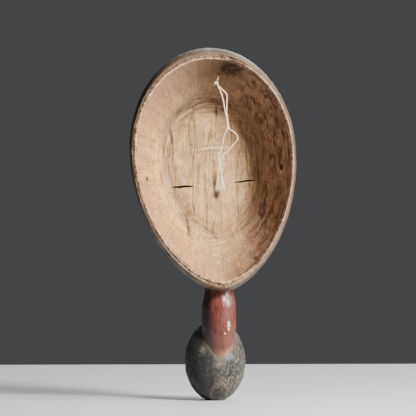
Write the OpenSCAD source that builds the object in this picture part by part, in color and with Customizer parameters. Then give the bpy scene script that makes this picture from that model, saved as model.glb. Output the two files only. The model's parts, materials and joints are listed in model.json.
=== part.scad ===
// Carved wooden face mask on a barrel neck and a ball, with a doubled string hung from a peg in the crown.
// Origin: centre of the ball's flat underside. +Z is up, the hollow opens towards -Y, the face looks to +Y.

/* [Mask outline] */
// Width of the rim at its widest line
rim_w = 178; // [120:1:240]
// Height of the rim above its widest line
crown_h = 108; // [70:1:150]
// Height of the rim below its widest line
chin_h = 147; // [100:1:200]
// How sharply the chin comes to a point, 1 being a plain ellipse
chin_point = 1.22; // [1:0.02:1.5]
// Width of the flat edge of the rim
rim_t = 4; // [2:0.5:8]
// Sideways tilt of the mask on its neck, in degrees
mask_roll = 5; // [0:0.5:10]

/* [Mask body] */
// Depth of the carved body, without its nose
dome_depth = 82; // [60:1:120]
// How far the body swells beyond the rim at the sides
side_swell = 6; // [0:0.5:10]
// How far the body swells beyond the rim at the crown and chin
end_swell = 12; // [0:0.5:20]
// Depth of the hollow
hollow_depth = 62; // [40:1:90]
// How far the floor of the hollow lies below the widest line
floor_drop = 12; // [0:1:20]

/* [Face] */
// Depth of the eye line below the widest line
eye_drop = 36; // [20:1:60]
// Distance between the middles of the two eyes
eye_pitch = 69; // [50:1:90]
// Length of each eye slit
slit_l = 25.5; // [15:0.5:36]
// Height of each eye slit
slit_h = 2.6; // [1:0.1:4]
// Downward slope of the eye slits from the hollow to the face, in degrees
slit_tilt = 18; // [0:1:25]
// Height of the nose above the face
nose_h = 19; // [8:1:28]
// Fullness of the mouth and jaw above the plain dome
jaw_h = 12; // [4:1:18]
// Thickness of the carved cap of hair
hair_h = 2.5; // [0:0.5:4]

/* [Temple holes] */
// Radius of each strap hole
hole_r = 2.75; // [1.5:0.25:5]
// Distance of the strap holes in front of the rim plane
hole_in = 23; // [15:1:34]
// Distance of the strap holes below the widest line
hole_drop = 23; // [0:1:50]

/* [Neck] */
// Radius of the barrel at its fattest
neck_r = 19.25; // [12:0.25:26]
// Radius of the barrel where it meets the chin
neck_top_r = 16; // [9:0.25:22]
// Radius of the barrel's lower end, inside the ball
neck_end_r = 14; // [8:0.25:20]
// Height of the chin's lowest point above the ground
chin_z = 120; // [112:1:160]
// Distance from the rim plane to the neck's axis
neck_in = 34; // [26:1:44]
// Sideways place of the neck's axis
neck_x = 3.5; // [-10:0.5:10]
// Sideways place of the mask's middle
mask_x = -4.5; // [-15:0.5:15]

/* [Ball] */
// Radius of the ball, seen from above
ball_r = 34; // [26:0.5:44]
// Half height of the ball
ball_half_h = 45; // [36:0.5:50]
// Radius of the flat underside
foot_r = 9; // [4:0.5:14]
// Distance from the neck's axis to the ball's axis, towards the face
ball_back = 18; // [8:0.5:24]

/* [Pins and peg] */
// Radius of the hidden dowels
dowel_r = 4; // [2:0.25:6]
// Length of the dowel between neck and chin
chin_dowel_l = 40; // [20:1:50]
// Length of the dowel between neck and ball
ball_dowel_l = 50; // [20:1:60]
// Gap filled with glue round a dowel or a scribed joint
glue_gap = 0.1; // [0.05:0.05:0.3]
// Radius of the whittled peg
peg_r = 0.85; // [0.5:0.05:2]
// Length of the peg that shows
peg_out = 17; // [10:0.5:25]
// Length of the peg inside the wood
peg_deep = 5; // [3:0.5:6]

/* [String] */
// Diameter of each strand
string_d = 1.4; // [0.8:0.1:2]
// Radius of the knot round the peg
peg_knot_r = 2.8; // [2.6:0.1:3.5]
// Radius of the two lower knots
knot_r = 2.2; // [2:0.1:3]
// Running gap between the knot and the peg
knot_gap = 0.1; // [0.05:0.05:0.3]
// Length of the frayed ends
fray_l = 21; // [10:1:30]
// Radius of a frayed bundle at its tip
fray_r = 2; // [1:0.1:3]

/* [Hidden] */
$fn = 48;

// Steps of the shell's mesh: round the outline, from rim to nose, and from rim to floor
around = 72;
outer_steps = 22;
inner_steps = 14;

// Places worked out from the sizes above, in the frame of the whole object
ball_z = ball_half_h * sqrt(1 - pow(foot_r / ball_r, 2));
neck_y = -ball_back;
mask_at = [mask_x, neck_y - neck_in, chin_z + chin_h + end_swell * 0.7];
band_lo = ball_z + ball_half_h + 3;
band_hi = band_lo + 11;
waist_z = chin_z + 4;
neck_lo = ball_z;
neck_hi = chin_z + 32;

// The face, in the mask's own frame: x sideways, y into the face, z up from the widest line
face_wall = 0.7 * (dome_depth - hollow_depth);
eye_z = -eye_drop - face_wall * tan(slit_tilt);
brow_z = eye_z + 17;
nose_z = eye_z - 0.42 * (chin_h - eye_drop);
mouth_z = eye_z - 0.62 * (chin_h - eye_drop);
jaw_z = eye_z - 0.87 * (chin_h - eye_drop);
hair_z = eye_z + 0.62 * (crown_h + eye_drop);

// The peg starts on the hollow's wall at this turn and this share of the way out to the rim
peg_turn = 78;
peg_share = 0.87;
// The peg points down, turned towards the hollow's mouth and leaning to the left
peg_pitch = 42;
peg_lean = 16;

// Routes of the two strands, as offsets from the middle of the knot on the peg
left_route = [
    [1.9, -0.3, -1.2], [2.8, -1.2, -4.2], [4.6, -1.4, -8.4], [6.4, -1.2, -13.6], [8.2, -1, -20.2],
    [9.4, -0.8, -27.8], [10.8, -0.8, -34], [12, -0.8, -40], [12.6, -0.8, -45], [12.4, -0.8, -49],
    [11.4, -0.2, -52.4], [9.8, 0.6, -55.6], [8.4, 1.2, -59.4], [7.2, 1.4, -66.6], [5.4, 1.2, -73.2],
    [4, 0.8, -77.6], [2.8, 0.4, -81], [2.2, 0.2, -83.6], [2.8, 0, -87], [3.4, 0, -90.6],
    [3.2, 0, -94.6], [2.4, 0, -98]
];
right_route = [
    [1.2, 1.9, -0.9], [6.4, 1.2, -6.2], [10.2, 1.4, -9.8], [12.2, 1.4, -13.4], [12, 1.2, -18.6],
    [11.6, 1, -28], [12, 1, -35], [13, 1, -42], [13.8, 0.8, -48.4], [16, 0, -51], [19.2, -1, -53],
    [22.2, -1.6, -56], [23.8, -1.8, -59.6], [22.6, -1.6, -63], [20, -1.4, -66.4], [16.2, -1.2, -70.4],
    [11.8, -1, -75.4], [7, -0.8, -79.8], [4.2, -0.6, -83.4], [4.6, 0, -87], [5, 0.2, -90.6],
    [5.2, 0.2, -94.6], [5.4, 0, -98]
];
middle_knot_at = [13.2, 0, -49];
lower_knot_at = [3.2, -0.2, -83.6];
// Directions in which the two frayed bundles hang
fray_dirs = [[-0.06, 0, -1], [0.14, -0.03, -1]];

function unit(v) = v / norm(v);
function bell(v, width) = exp(-pow(v / width, 2));
function clamp01(v) = max(0, min(1, v));

// Egg outline with its widest line at z = 0
function egg(turn, half_w, top, bottom) =
    let (c = cos(turn), s = sin(turn))
    s >= 0 ? [half_w * c, top * s] : [half_w * sign(c) * pow(abs(c), chin_point), bottom * s];

// Height of the carved face above the plain dome at x, z
function nose(x, z) =
    let (down = clamp01((brow_z - z) / (brow_z - nose_z)), under = z < nose_z ? bell(z - nose_z, 5) : 1)
    nose_h * pow(down, 1.3) * under * bell(x, 7 + 8 * down);
function relief(x, z) =
    let (side = abs(x) - eye_pitch / 2, cheek = abs(x) - 0.66 * eye_pitch)
    nose(x, z)
    + 4.5 * bell(z - brow_z + 0.004 * x * x, 7) * bell(side, 24)
    - 5 * bell(z - eye_z, 13) * bell(side, 18)
    + 4 * bell(z - eye_z, 6) * bell(side, 14)
    + 4 * bell(z - nose_z - 10, 20) * bell(cheek, 17)
    + jaw_h * bell(z - jaw_z - 8, 34) * bell(x, 34)
    + 5 * bell(z - mouth_z - 4, 4.5) * bell(x, 19)
    + 6 * bell(z - mouth_z + 5, 5.5) * bell(x, 16)
    - 3 * bell(z - mouth_z, 2) * bell(x, 23)
    + 5 * bell(z - jaw_z, 11) * bell(x, 18)
    + hair_h * clamp01((z - hair_z + 0.006 * x * x) / 5);

// A point of the body's outside: rise is 0 at the rim and 90 at the middle of the face
function outer_point(turn, rise, grow) =
    let (
        rim = egg(turn, rim_w / 2, crown_h, chin_h),
        swell = side_swell * pow(cos(turn), 2) + end_swell * pow(sin(turn), 2),
        full = 1.1 - 0.4 * pow(max(0, -sin(turn)), 2),
        share = pow(cos(rise), full) + swell * sin(180 * pow(sin(rise), 0.7)) / norm(rim),
        flat = rim * (share + grow / norm(rim)),
        fade = clamp01(3 * sin(rise))
    )
    [flat[0], dome_depth * sin(rise) + relief(flat[0], flat[1]) * fade + grow * sin(rise), flat[1]];

// A point of the hollow's wall: share is 1 at the rim and 0 at the middle of the floor
function inner_point(turn, share) =
    let (
        mouth = egg(turn, rim_w / 2 - rim_t, crown_h - rim_t, chin_h - rim_t),
        drop = floor_drop * (1 - share * share)
    )
    [mouth[0] * share, hollow_depth * (1 - pow(share, 4)), mouth[1] * share - drop];

// A point or a direction of the mask's own frame, seen in the frame of the whole object
function rolled(p) =
    [p[0] * cos(mask_roll) - p[2] * sin(mask_roll), p[1], p[0] * sin(mask_roll) + p[2] * cos(mask_roll)];
function placed(p) = mask_at + rolled(p);

// Faces of a stack of equal rings, each ring of n points, with the first and last point as its poles
function stack_faces(n, rings) = [
    for (k = [0 : n - 1]) [0, 1 + k, 1 + (k + 1) % n],
    for (j = [0 : rings - 2], k = [0 : n - 1])
        let (a = 1 + j * n + k, b = 1 + j * n + (k + 1) % n)
        each [[a, a + n, b], [b, a + n, b + n]],
    for (k = [0 : n - 1])
        [1 + rings * n, 1 + (rings - 1) * n + (k + 1) % n, 1 + (rings - 1) * n + k]
];

function turn_at(k) = 360 * (k + 0.5) / around;
function rise_at(j) = 90 * j / outer_steps;

function outer_rings(grow) = [
    for (j = [outer_steps - 1 : -1 : 0], k = [0 : around - 1]) outer_point(turn_at(k), rise_at(j), grow)
];
function inner_rings() = [
    for (i = [0 : inner_steps - 1], k = [0 : around - 1])
        inner_point(turn_at(k), 1 - i / inner_steps)
];

// Radius of the barrel neck at height z
function barrel_r(z) =
    z < band_lo ? neck_end_r + (neck_r - neck_end_r) * sin(90 * (z - neck_lo) / (band_lo - neck_lo))
    : z < band_hi ? neck_r
    : neck_top_r + (neck_r - neck_top_r) * (1 + cos(180 * clamp01((z - band_hi) / (waist_z - band_hi)))) / 2;

peg_dir = [-sin(peg_lean), -cos(peg_lean) * sin(peg_pitch), -cos(peg_lean) * cos(peg_pitch)];
peg_base = placed(inner_point(peg_turn, peg_share));
peg_knot_at = peg_base + (peg_out - 2) * peg_dir;

// Smooth points through a route, two for each stretch
function smooth(route, i, f) =
    let (a = route[max(i - 1, 0)], b = route[i], c = route[i + 1], d = route[min(i + 2, len(route) - 1)])
    b + 0.5 * f * ((c - a) + f * ((2 * a - 5 * b + 4 * c - d) + f * (3 * b - a - 3 * c + d)));
function smoothed(route) = [
    for (i = [0 : len(route) - 2], f = [0, 0.5]) smooth(route, i, f),
    route[len(route) - 1]
];

module along(start, direction) {
    translate(start) rotate([0, acos(direction[2]), atan2(direction[1], direction[0])]) children();
}

module in_mask() {
    translate(mask_at) rotate([0, -mask_roll, 0]) children();
}

module mask_form(grow) {
    rings = outer_rings(grow);
    middle = outer_point(0, 90, grow);
    back = [0, -grow, 0];
    polyhedron(concat([middle], rings, [back]), stack_faces(around, outer_steps), convexity = 6);
}

module barrel(grow) {
    steps = 12;
    lower = [for (i = [0 : steps]) neck_lo + (band_lo - neck_lo) * i / steps];
    upper = [for (i = [0 : steps]) band_hi + (waist_z - band_hi) * i / steps];
    wall = [for (z = concat(lower, upper, [neck_hi])) [barrel_r(z) + grow, z]];
    foot = [[0, neck_lo - grow], [neck_end_r + grow, neck_lo - grow]];
    translate([neck_x, neck_y, 0]) rotate_extrude($fn = 96) polygon(concat(foot, wall, [[0, neck_hi]]));
}

module dowel(middle, length, grow) {
    translate([neck_x, neck_y, middle]) cylinder(r = dowel_r + grow, h = length + 2 * grow, center = true);
}

module chin_pin(grow) {
    dowel(chin_z + 5, chin_dowel_l, grow);
}

module ball_pin(grow) {
    dowel(neck_lo + 1, ball_dowel_l, grow);
}

module peg_form(grow) {
    along(peg_base - peg_deep * peg_dir, peg_dir) cylinder(r = peg_r + grow, h = peg_deep + peg_out);
}

module strand(route) {
    path = [for (p = smoothed(route)) peg_knot_at + p];
    last = len(path) - 1;
    sides = 8;
    rings = [
        for (i = [0 : last], k = [0 : sides - 1])
            let (
                ahead = unit(path[min(i + 1, last)] - path[max(i - 1, 0)]),
                across = unit(cross(ahead, [0, 1, 0])),
                up = cross(across, ahead),
                turn = 360 * k / sides
            )
            path[i] + string_d / 2 * (cos(turn) * across + sin(turn) * up)
    ];
    polyhedron(concat([path[0]], rings, [path[last]]), stack_faces(sides, last + 1), convexity = 10);
}

module mask_shell() {
    color("#b08c70") difference() {
        in_mask() polyhedron(
            concat([outer_point(0, 90, 0)], outer_rings(0), inner_rings(), [inner_point(0, 0)]),
            stack_faces(around, outer_steps + inner_steps), convexity = 8
        );
        in_mask() for (side = [-1, 1]) {
            translate([side * eye_pitch / 2, hollow_depth - 2, -eye_drop]) rotate([-slit_tilt, 0, 0])
                cube([slit_l, dome_depth, slit_h], center = true);
            translate([0, hole_in, -hole_drop]) rotate([0, 90 * side, 0])
                cylinder(r = hole_r, h = rim_w);
        }
        peg_form(glue_gap / 2);
        chin_pin(glue_gap);
    }
}

module neck() {
    color("#96463c") difference() {
        barrel(0);
        in_mask() mask_form(glue_gap);
        chin_pin(glue_gap);
        ball_pin(glue_gap);
    }
}

module ball_foot() {
    low = -asin(ball_z / ball_half_h);
    steps = 30;
    curve = [
        for (i = [0 : steps])
            let (a = low + (90 - low) * i / steps)
            [ball_r * cos(a), ball_z + ball_half_h * sin(a)]
    ];
    color("#46484a") difference() {
        rotate_extrude($fn = 96) polygon(concat([[0, 0]], curve));
        barrel(glue_gap);
        ball_pin(glue_gap);
    }
}

module chin_dowel() {
    color("#c8a878") chin_pin(0);
}

module ball_dowel() {
    color("#c8a878") ball_pin(0);
}

module crown_peg() {
    color("#c8aa96") peg_form(0);
}

module peg_knot() {
    color("#ece2d0") difference() {
        translate(peg_knot_at) sphere(r = peg_knot_r);
        peg_form(knot_gap);
    }
}

module middle_knot() {
    color("#ece2d0") translate(peg_knot_at + middle_knot_at) sphere(r = knot_r);
}

module lower_knot() {
    color("#ece2d0") translate(peg_knot_at + lower_knot_at) sphere(r = knot_r);
}

module string_left() {
    color("#ece2d0") strand(left_route);
}

module string_right() {
    color("#ece2d0") strand(right_route);
}

module frayed_ends() {
    routes = [left_route, right_route];
    color("#ece2d0") for (i = [0, 1]) {
        tip = routes[i][len(routes[i]) - 1];
        along(peg_knot_at + tip, unit(fray_dirs[i])) cylinder(r1 = string_d / 2, r2 = fray_r, h = fray_l);
    }
}

mask_shell();
neck();
ball_foot();
chin_dowel();
ball_dowel();
crown_peg();
peg_knot();
middle_knot();
lower_knot();
string_left();
string_right();
frayed_ends();
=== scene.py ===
"""Looks of a carved wooden face mask on a barrel neck and a ball, with a knotted string on a peg in its hollow.

Every shape is worked out in millimetres in its own frame and put in place in metres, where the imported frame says.
The mask's own frame has x across it, y from the flat rim out to the face, and z up to the crown.
"""

import json
import logging
import math
from dataclasses import dataclass, field
from enum import Enum
from typing import Callable, Optional, Sequence

import bmesh
import bpy
import numpy as np
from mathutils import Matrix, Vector
from mathutils.bvhtree import BVHTree
from mathutils.kdtree import KDTree

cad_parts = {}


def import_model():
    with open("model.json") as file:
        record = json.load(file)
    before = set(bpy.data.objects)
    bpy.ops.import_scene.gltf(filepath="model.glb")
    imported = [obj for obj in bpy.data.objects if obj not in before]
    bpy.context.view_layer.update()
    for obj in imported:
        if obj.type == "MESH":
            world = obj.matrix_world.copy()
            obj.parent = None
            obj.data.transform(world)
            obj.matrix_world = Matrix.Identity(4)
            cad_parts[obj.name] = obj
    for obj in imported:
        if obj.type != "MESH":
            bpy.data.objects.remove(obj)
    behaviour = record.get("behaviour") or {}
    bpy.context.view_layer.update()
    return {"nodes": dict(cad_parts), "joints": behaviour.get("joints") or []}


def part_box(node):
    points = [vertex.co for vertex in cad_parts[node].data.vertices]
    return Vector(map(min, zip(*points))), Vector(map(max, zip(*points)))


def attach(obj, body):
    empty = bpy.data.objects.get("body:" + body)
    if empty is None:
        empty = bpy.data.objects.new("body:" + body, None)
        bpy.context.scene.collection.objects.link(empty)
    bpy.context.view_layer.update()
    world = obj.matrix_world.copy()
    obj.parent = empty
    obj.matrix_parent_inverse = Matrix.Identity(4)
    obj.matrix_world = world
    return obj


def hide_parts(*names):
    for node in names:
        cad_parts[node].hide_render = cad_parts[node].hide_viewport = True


LOG = logging.getLogger("mask")
MM = 0.001
Array = np.ndarray
Socket = bpy.types.NodeSocket
Sockets = bpy.types.bpy_prop_collection
Colour = tuple[float, float, float]
Scale3 = tuple[float, float, float]
SHARP = math.radians(38)
EVEN: Scale3 = (1.0, 1.0, 1.0)
BLACK: Colour = (0.0, 0.0, 0.0)


class Zone(Enum):
    """The surfaces of the carving that take a finish of their own, by material slot."""

    OUTSIDE = 0
    HOLLOW = 1
    CUT = 2


class Strand(Enum):
    """The two ends of the string, named as seen from behind."""

    LEFT = "left"
    RIGHT = "right"


# ---------------------------------------------------------------- small tools


def bell(value: Array, width: float) -> Array:
    """Returns a smooth bump, 1 where value is 0, that is gone about two widths away."""
    return np.exp(-((value / width) ** 2))


def clamp01(value: Array) -> Array:
    """Returns value held between 0 and 1."""
    return np.clip(value, 0.0, 1.0)


def unit(vector: Array) -> Array:
    """Returns the vectors of the last axis at length 1."""
    return vector / np.maximum(np.linalg.norm(vector, axis=-1, keepdims=True), 1e-9)


def make_object(name: str, points: Array, faces: Sequence[Sequence[int]], smooth: bool = True) -> bpy.types.Object:
    """Makes a mesh object with outward faces.

    Args:
        name: the piece's name.
        points: corner places in millimetres, in the shared frame.
        faces: corner numbers of each face.
        smooth: whether its faces are shaded smooth.

    Returns:
        The linked object, which sits at the origin.
    """
    mesh = bpy.data.meshes.new(name)
    mesh.from_pydata((np.asarray(points) * MM).tolist(), [], [list(f) for f in faces])
    mesh.validate()
    built = bmesh.new()
    built.from_mesh(mesh)
    bmesh.ops.recalc_face_normals(built, faces=built.faces)
    if built.calc_volume(signed=True) < 0:
        bmesh.ops.reverse_faces(built, faces=built.faces)
    built.to_mesh(mesh)
    built.free()
    mesh.shade_smooth() if smooth else mesh.shade_flat()
    return add_object(name, mesh)


def add_object(name: str, data: bpy.types.ID) -> bpy.types.Object:
    """Makes an object of some data and links it to the scene."""
    made = bpy.data.objects.new(name, data)
    bpy.context.scene.collection.objects.link(made)
    return made


def evaluated_mesh(owner: bpy.types.Object) -> bpy.types.Mesh:
    """Returns a new mesh of an object with its modifiers applied."""
    return bpy.data.meshes.new_from_object(owner.evaluated_get(bpy.context.evaluated_depsgraph_get()))


def full_turn(count: int) -> Array:
    """Returns angles spread evenly round a circle, from 0 on."""
    return np.linspace(0, 2 * math.pi, count, endpoint=False)


def corners(piece: bpy.types.Object) -> Array:
    """Returns where a piece's corners lie, in millimetres."""
    return np.array([v.co for v in piece.data.vertices]) / MM


def point_tree(points: Array) -> KDTree:
    """Returns a search tree of points in millimetres; it is asked in metres."""
    tree = KDTree(len(points))
    for index, point in enumerate(points * MM):
        tree.insert(point, index)
    tree.balance()
    return tree


def grid_faces(rings: int, around: int, first: int = 0) -> list[tuple[int, int, int, int]]:
    """Returns the quads between rings of corners, each ring closed on itself."""
    column = np.arange(around)
    after = (column + 1) % around
    quads = []
    for ring in range(rings - 1):
        low, high = first + ring * around, first + (ring + 1) * around
        quads.extend(
            zip((low + column).tolist(), (low + after).tolist(), (high + after).tolist(), (high + column).tolist())
        )
    return quads


def closed_grid(rings: Array, start: Array, end: Array) -> tuple[Array, list[tuple[int, ...]]]:
    """Closes a stack of rings with a pole at each end.

    Args:
        rings: corners, ring by ring, as an array of rings, corners and coordinates.
        start: the pole before the first ring.
        end: the pole after the last ring.

    Returns:
        All corners, the poles last, and the faces, the fans at the poles last.
    """
    count, around = rings.shape[:2]
    points = np.vstack([rings.reshape(-1, 3), start, end])
    faces: list[tuple[int, ...]] = list(grid_faces(count, around))
    last, pole_a, pole_b = (count - 1) * around, count * around, count * around + 1
    for column in range(around):
        after = (column + 1) % around
        faces.append((pole_a, after, column))
        faces.append((pole_b, last + column, last + after))
    return points, faces


def grid_normals(rings: Array) -> Array:
    """Returns the surface normal at each corner of a stack of rings, whichever side it faces."""
    around = np.roll(rings, -1, axis=1) - np.roll(rings, 1, axis=1)
    along = np.gradient(rings, axis=0)
    return unit(np.cross(around, along))


def facing_out(face: Array, sample: Array) -> Array:
    """Returns normals turned round where the y of a sample of them says that they face inwards."""
    return -face if np.mean(sample) < 0 else face


def store(mesh: bpy.types.Mesh, name: str, values: Array) -> None:
    """Writes one number or one vector for each corner of a mesh."""
    vector = values.ndim == 2
    layer = mesh.attributes.new(name, "FLOAT_VECTOR" if vector else "FLOAT", "POINT")
    layer.data.foreach_set("vector" if vector else "value", np.ascontiguousarray(values, dtype=np.float32).ravel())


def smooth_path(points: Array, step: float) -> Array:
    """Returns evenly spaced points on a Catmull-Rom curve through the points given."""
    padded = np.vstack([2 * points[0] - points[1], points, 2 * points[-1] - points[-2]])
    t = np.linspace(0, 1, 24, endpoint=False)[:, None]
    fine = []
    for a, b, c, d in zip(padded, padded[1:], padded[2:], padded[3:]):
        fine.append(0.5 * (2 * b + (c - a) * t + (2 * a - 5 * b + 4 * c - d) * t**2 + (3 * b - a - 3 * c + d) * t**3))
    curve = np.vstack(fine + [points[-1:]])
    run = np.concatenate([[0], np.cumsum(np.linalg.norm(np.diff(curve, axis=0), axis=1))])
    at = np.linspace(0, run[-1], max(4, int(run[-1] / step) + 1))
    return np.stack([np.interp(at, run, curve[:, k]) for k in range(3)], axis=1)


def path_length(points: Array) -> float:
    """Returns how long a line through the points is."""
    return float(np.linalg.norm(np.diff(points, axis=0), axis=1).sum())


def sweep(name: str, path: Array, section: Callable[[Array, Array], Array], sides: int) -> bpy.types.Object:
    """Makes a closed tube along a path.

    Args:
        name: the piece's name.
        path: points along its middle, in millimetres.
        section: gives the radius from the run along the path and the angle around it.
        sides: corners of each ring.

    Returns:
        The tube, rounded over at both ends.
    """
    ahead = unit(np.gradient(path, axis=0))
    side = np.zeros_like(path)
    side[0] = unit(np.cross(ahead[0], [0.31, 0.87, 0.38]))
    for k in range(1, len(path)):
        turned = side[k - 1] - ahead[k] * (side[k - 1] @ ahead[k])
        side[k] = turned / np.linalg.norm(turned)
    over = np.cross(ahead, side)
    run = np.concatenate([[0], np.cumsum(np.linalg.norm(np.diff(path, axis=0), axis=1))])
    angle = full_turn(sides)
    radius = section(run[:, None], angle[None, :])
    radius[0] *= 0.6
    radius[-1] *= 0.6
    rings = path[:, None] + radius[..., None] * (
        np.cos(angle)[None, :, None] * side[:, None] + np.sin(angle)[None, :, None] * over[:, None]
    )
    points, faces = closed_grid(rings, path[0] - 0.15 * ahead[0], path[-1] + 0.15 * ahead[-1])
    return make_object(name, points, faces)


def cad_box(node: str) -> tuple[Array, Array]:
    """Returns a node's lowest and highest corners in millimetres."""
    low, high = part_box(node)
    return np.array(low) / MM, np.array(high) / MM


def finish_piece(piece: bpy.types.Object, body: str, slot: str, *nodes: str) -> None:
    """Hands a finished piece to the frame: what it rides on and the nodes it stands for."""
    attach(piece, body)
    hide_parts(*nodes)
    LOG.info("%s: %d faces on %s, for %s", piece.name, len(piece.data.polygons), body, ", ".join(nodes))


# ---------------------------------------------------------------- node sheets and shared effects


class NodeSheet:
    """A shader node tree that is written one line at a time."""

    def __init__(self, tree: bpy.types.NodeTree) -> None:
        """Starts on an empty tree."""
        self.tree = tree
        tree.nodes.clear()

    def add(self, kind: str, values: Optional[dict] = None, **settings: object) -> bpy.types.Node:
        """Adds a node.

        Args:
            kind: the node's type.
            values: socket name or number to a value or to the socket that feeds it.
            **settings: the node's own properties.

        Returns:
            The new node.
        """
        node = self.tree.nodes.new(kind)
        node.location = (180 * (len(self.tree.nodes) % 12), -220 * (len(self.tree.nodes) // 12))
        for name, value in settings.items():
            setattr(node, name, value)
        for name, value in (values or {}).items():
            self.feed(node.inputs[name], value)
        return node

    def feed(self, socket: Socket, value: object) -> None:
        """Sets a socket's value, or links it where the value is a socket itself."""
        if isinstance(value, bpy.types.NodeSocket):
            self.tree.links.new(value, socket)
        elif isinstance(value, tuple) and len(value) == 3 and socket.type == "RGBA":
            socket.default_value = (*value, 1.0)
        else:
            socket.default_value = value

    def calc(self, operation: str, a: object, b: object = 0.5, clamp: bool = False) -> Socket:
        """Returns the result of a Math node."""
        return self.add("ShaderNodeMath", {0: a, 1: b}, operation=operation, use_clamp=clamp).outputs[0]

    def times(self, *factors: object) -> Socket:
        """Returns the product of masks or numbers."""
        product = factors[0]
        for factor in factors[1:]:
            product = self.calc("MULTIPLY", product, factor)
        return product

    def blend(self, mask: object, a: object, b: object, mode: str = "MIX") -> Socket:
        """Returns colour a with b laid on it by the mask."""
        return self.add("ShaderNodeMix", {0: mask, 6: a, 7: b}, data_type="RGBA", blend_type=mode).outputs[2]

    def remap(self, value: object, low: float, high: float, to_low: float = 0.0, to_high: float = 1.0) -> Socket:
        """Returns value stretched from one range to another and held inside it."""
        values = {"Value": value, "From Min": low, "From Max": high, "To Min": to_low, "To Max": to_high}
        return self.add("ShaderNodeMapRange", values, interpolation_type="SMOOTHSTEP").outputs[0]

    def stored(self, name: str, vector: bool = False) -> Socket:
        """Returns a number or vector that is kept on the mesh."""
        return self.add("ShaderNodeAttribute", attribute_name=name).outputs["Vector" if vector else "Fac"]

    def vector(self, operation: str, a: object, b: object) -> Socket:
        """Returns the result of a Vector Math node."""
        return self.add("ShaderNodeVectorMath", {0: a, 1: b}, operation=operation).outputs[0]

    def scaled(self, vector: Socket, by: Scale3) -> Socket:
        """Returns coordinates stretched by a factor for each axis."""
        return self.vector("MULTIPLY", vector, by)

    def noise(self, vector: Socket, scale: object, **values: object) -> Sockets:
        """Returns the outputs of a Noise Texture node."""
        return self.add("ShaderNodeTexNoise", {"Vector": vector, "Scale": scale, **values}).outputs

    def spot(self, vector: Socket, at: Array, size: tuple[float, float, float]) -> Socket:
        """Returns a soft mask round one place, from its middle and half sizes in millimetres."""
        off = self.vector("SUBTRACT", vector, tuple(np.asarray(at) * MM))
        near = self.vector("MULTIPLY", off, tuple(1 / (s * MM) for s in size))
        far = self.add("ShaderNodeVectorMath", {0: near}, operation="LENGTH").outputs["Value"]
        return self.remap(far, 1.25, 0.45)

    def group(self, tree: bpy.types.NodeTree, **values: object) -> bpy.types.Node:
        """Places a shared effect with its own values, whose names have underscores for spaces."""
        node = self.add("ShaderNodeGroup", node_tree=tree)
        for name, value in values.items():
            self.feed(node.inputs[name.replace("_", " ")], value)
        return node


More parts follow.
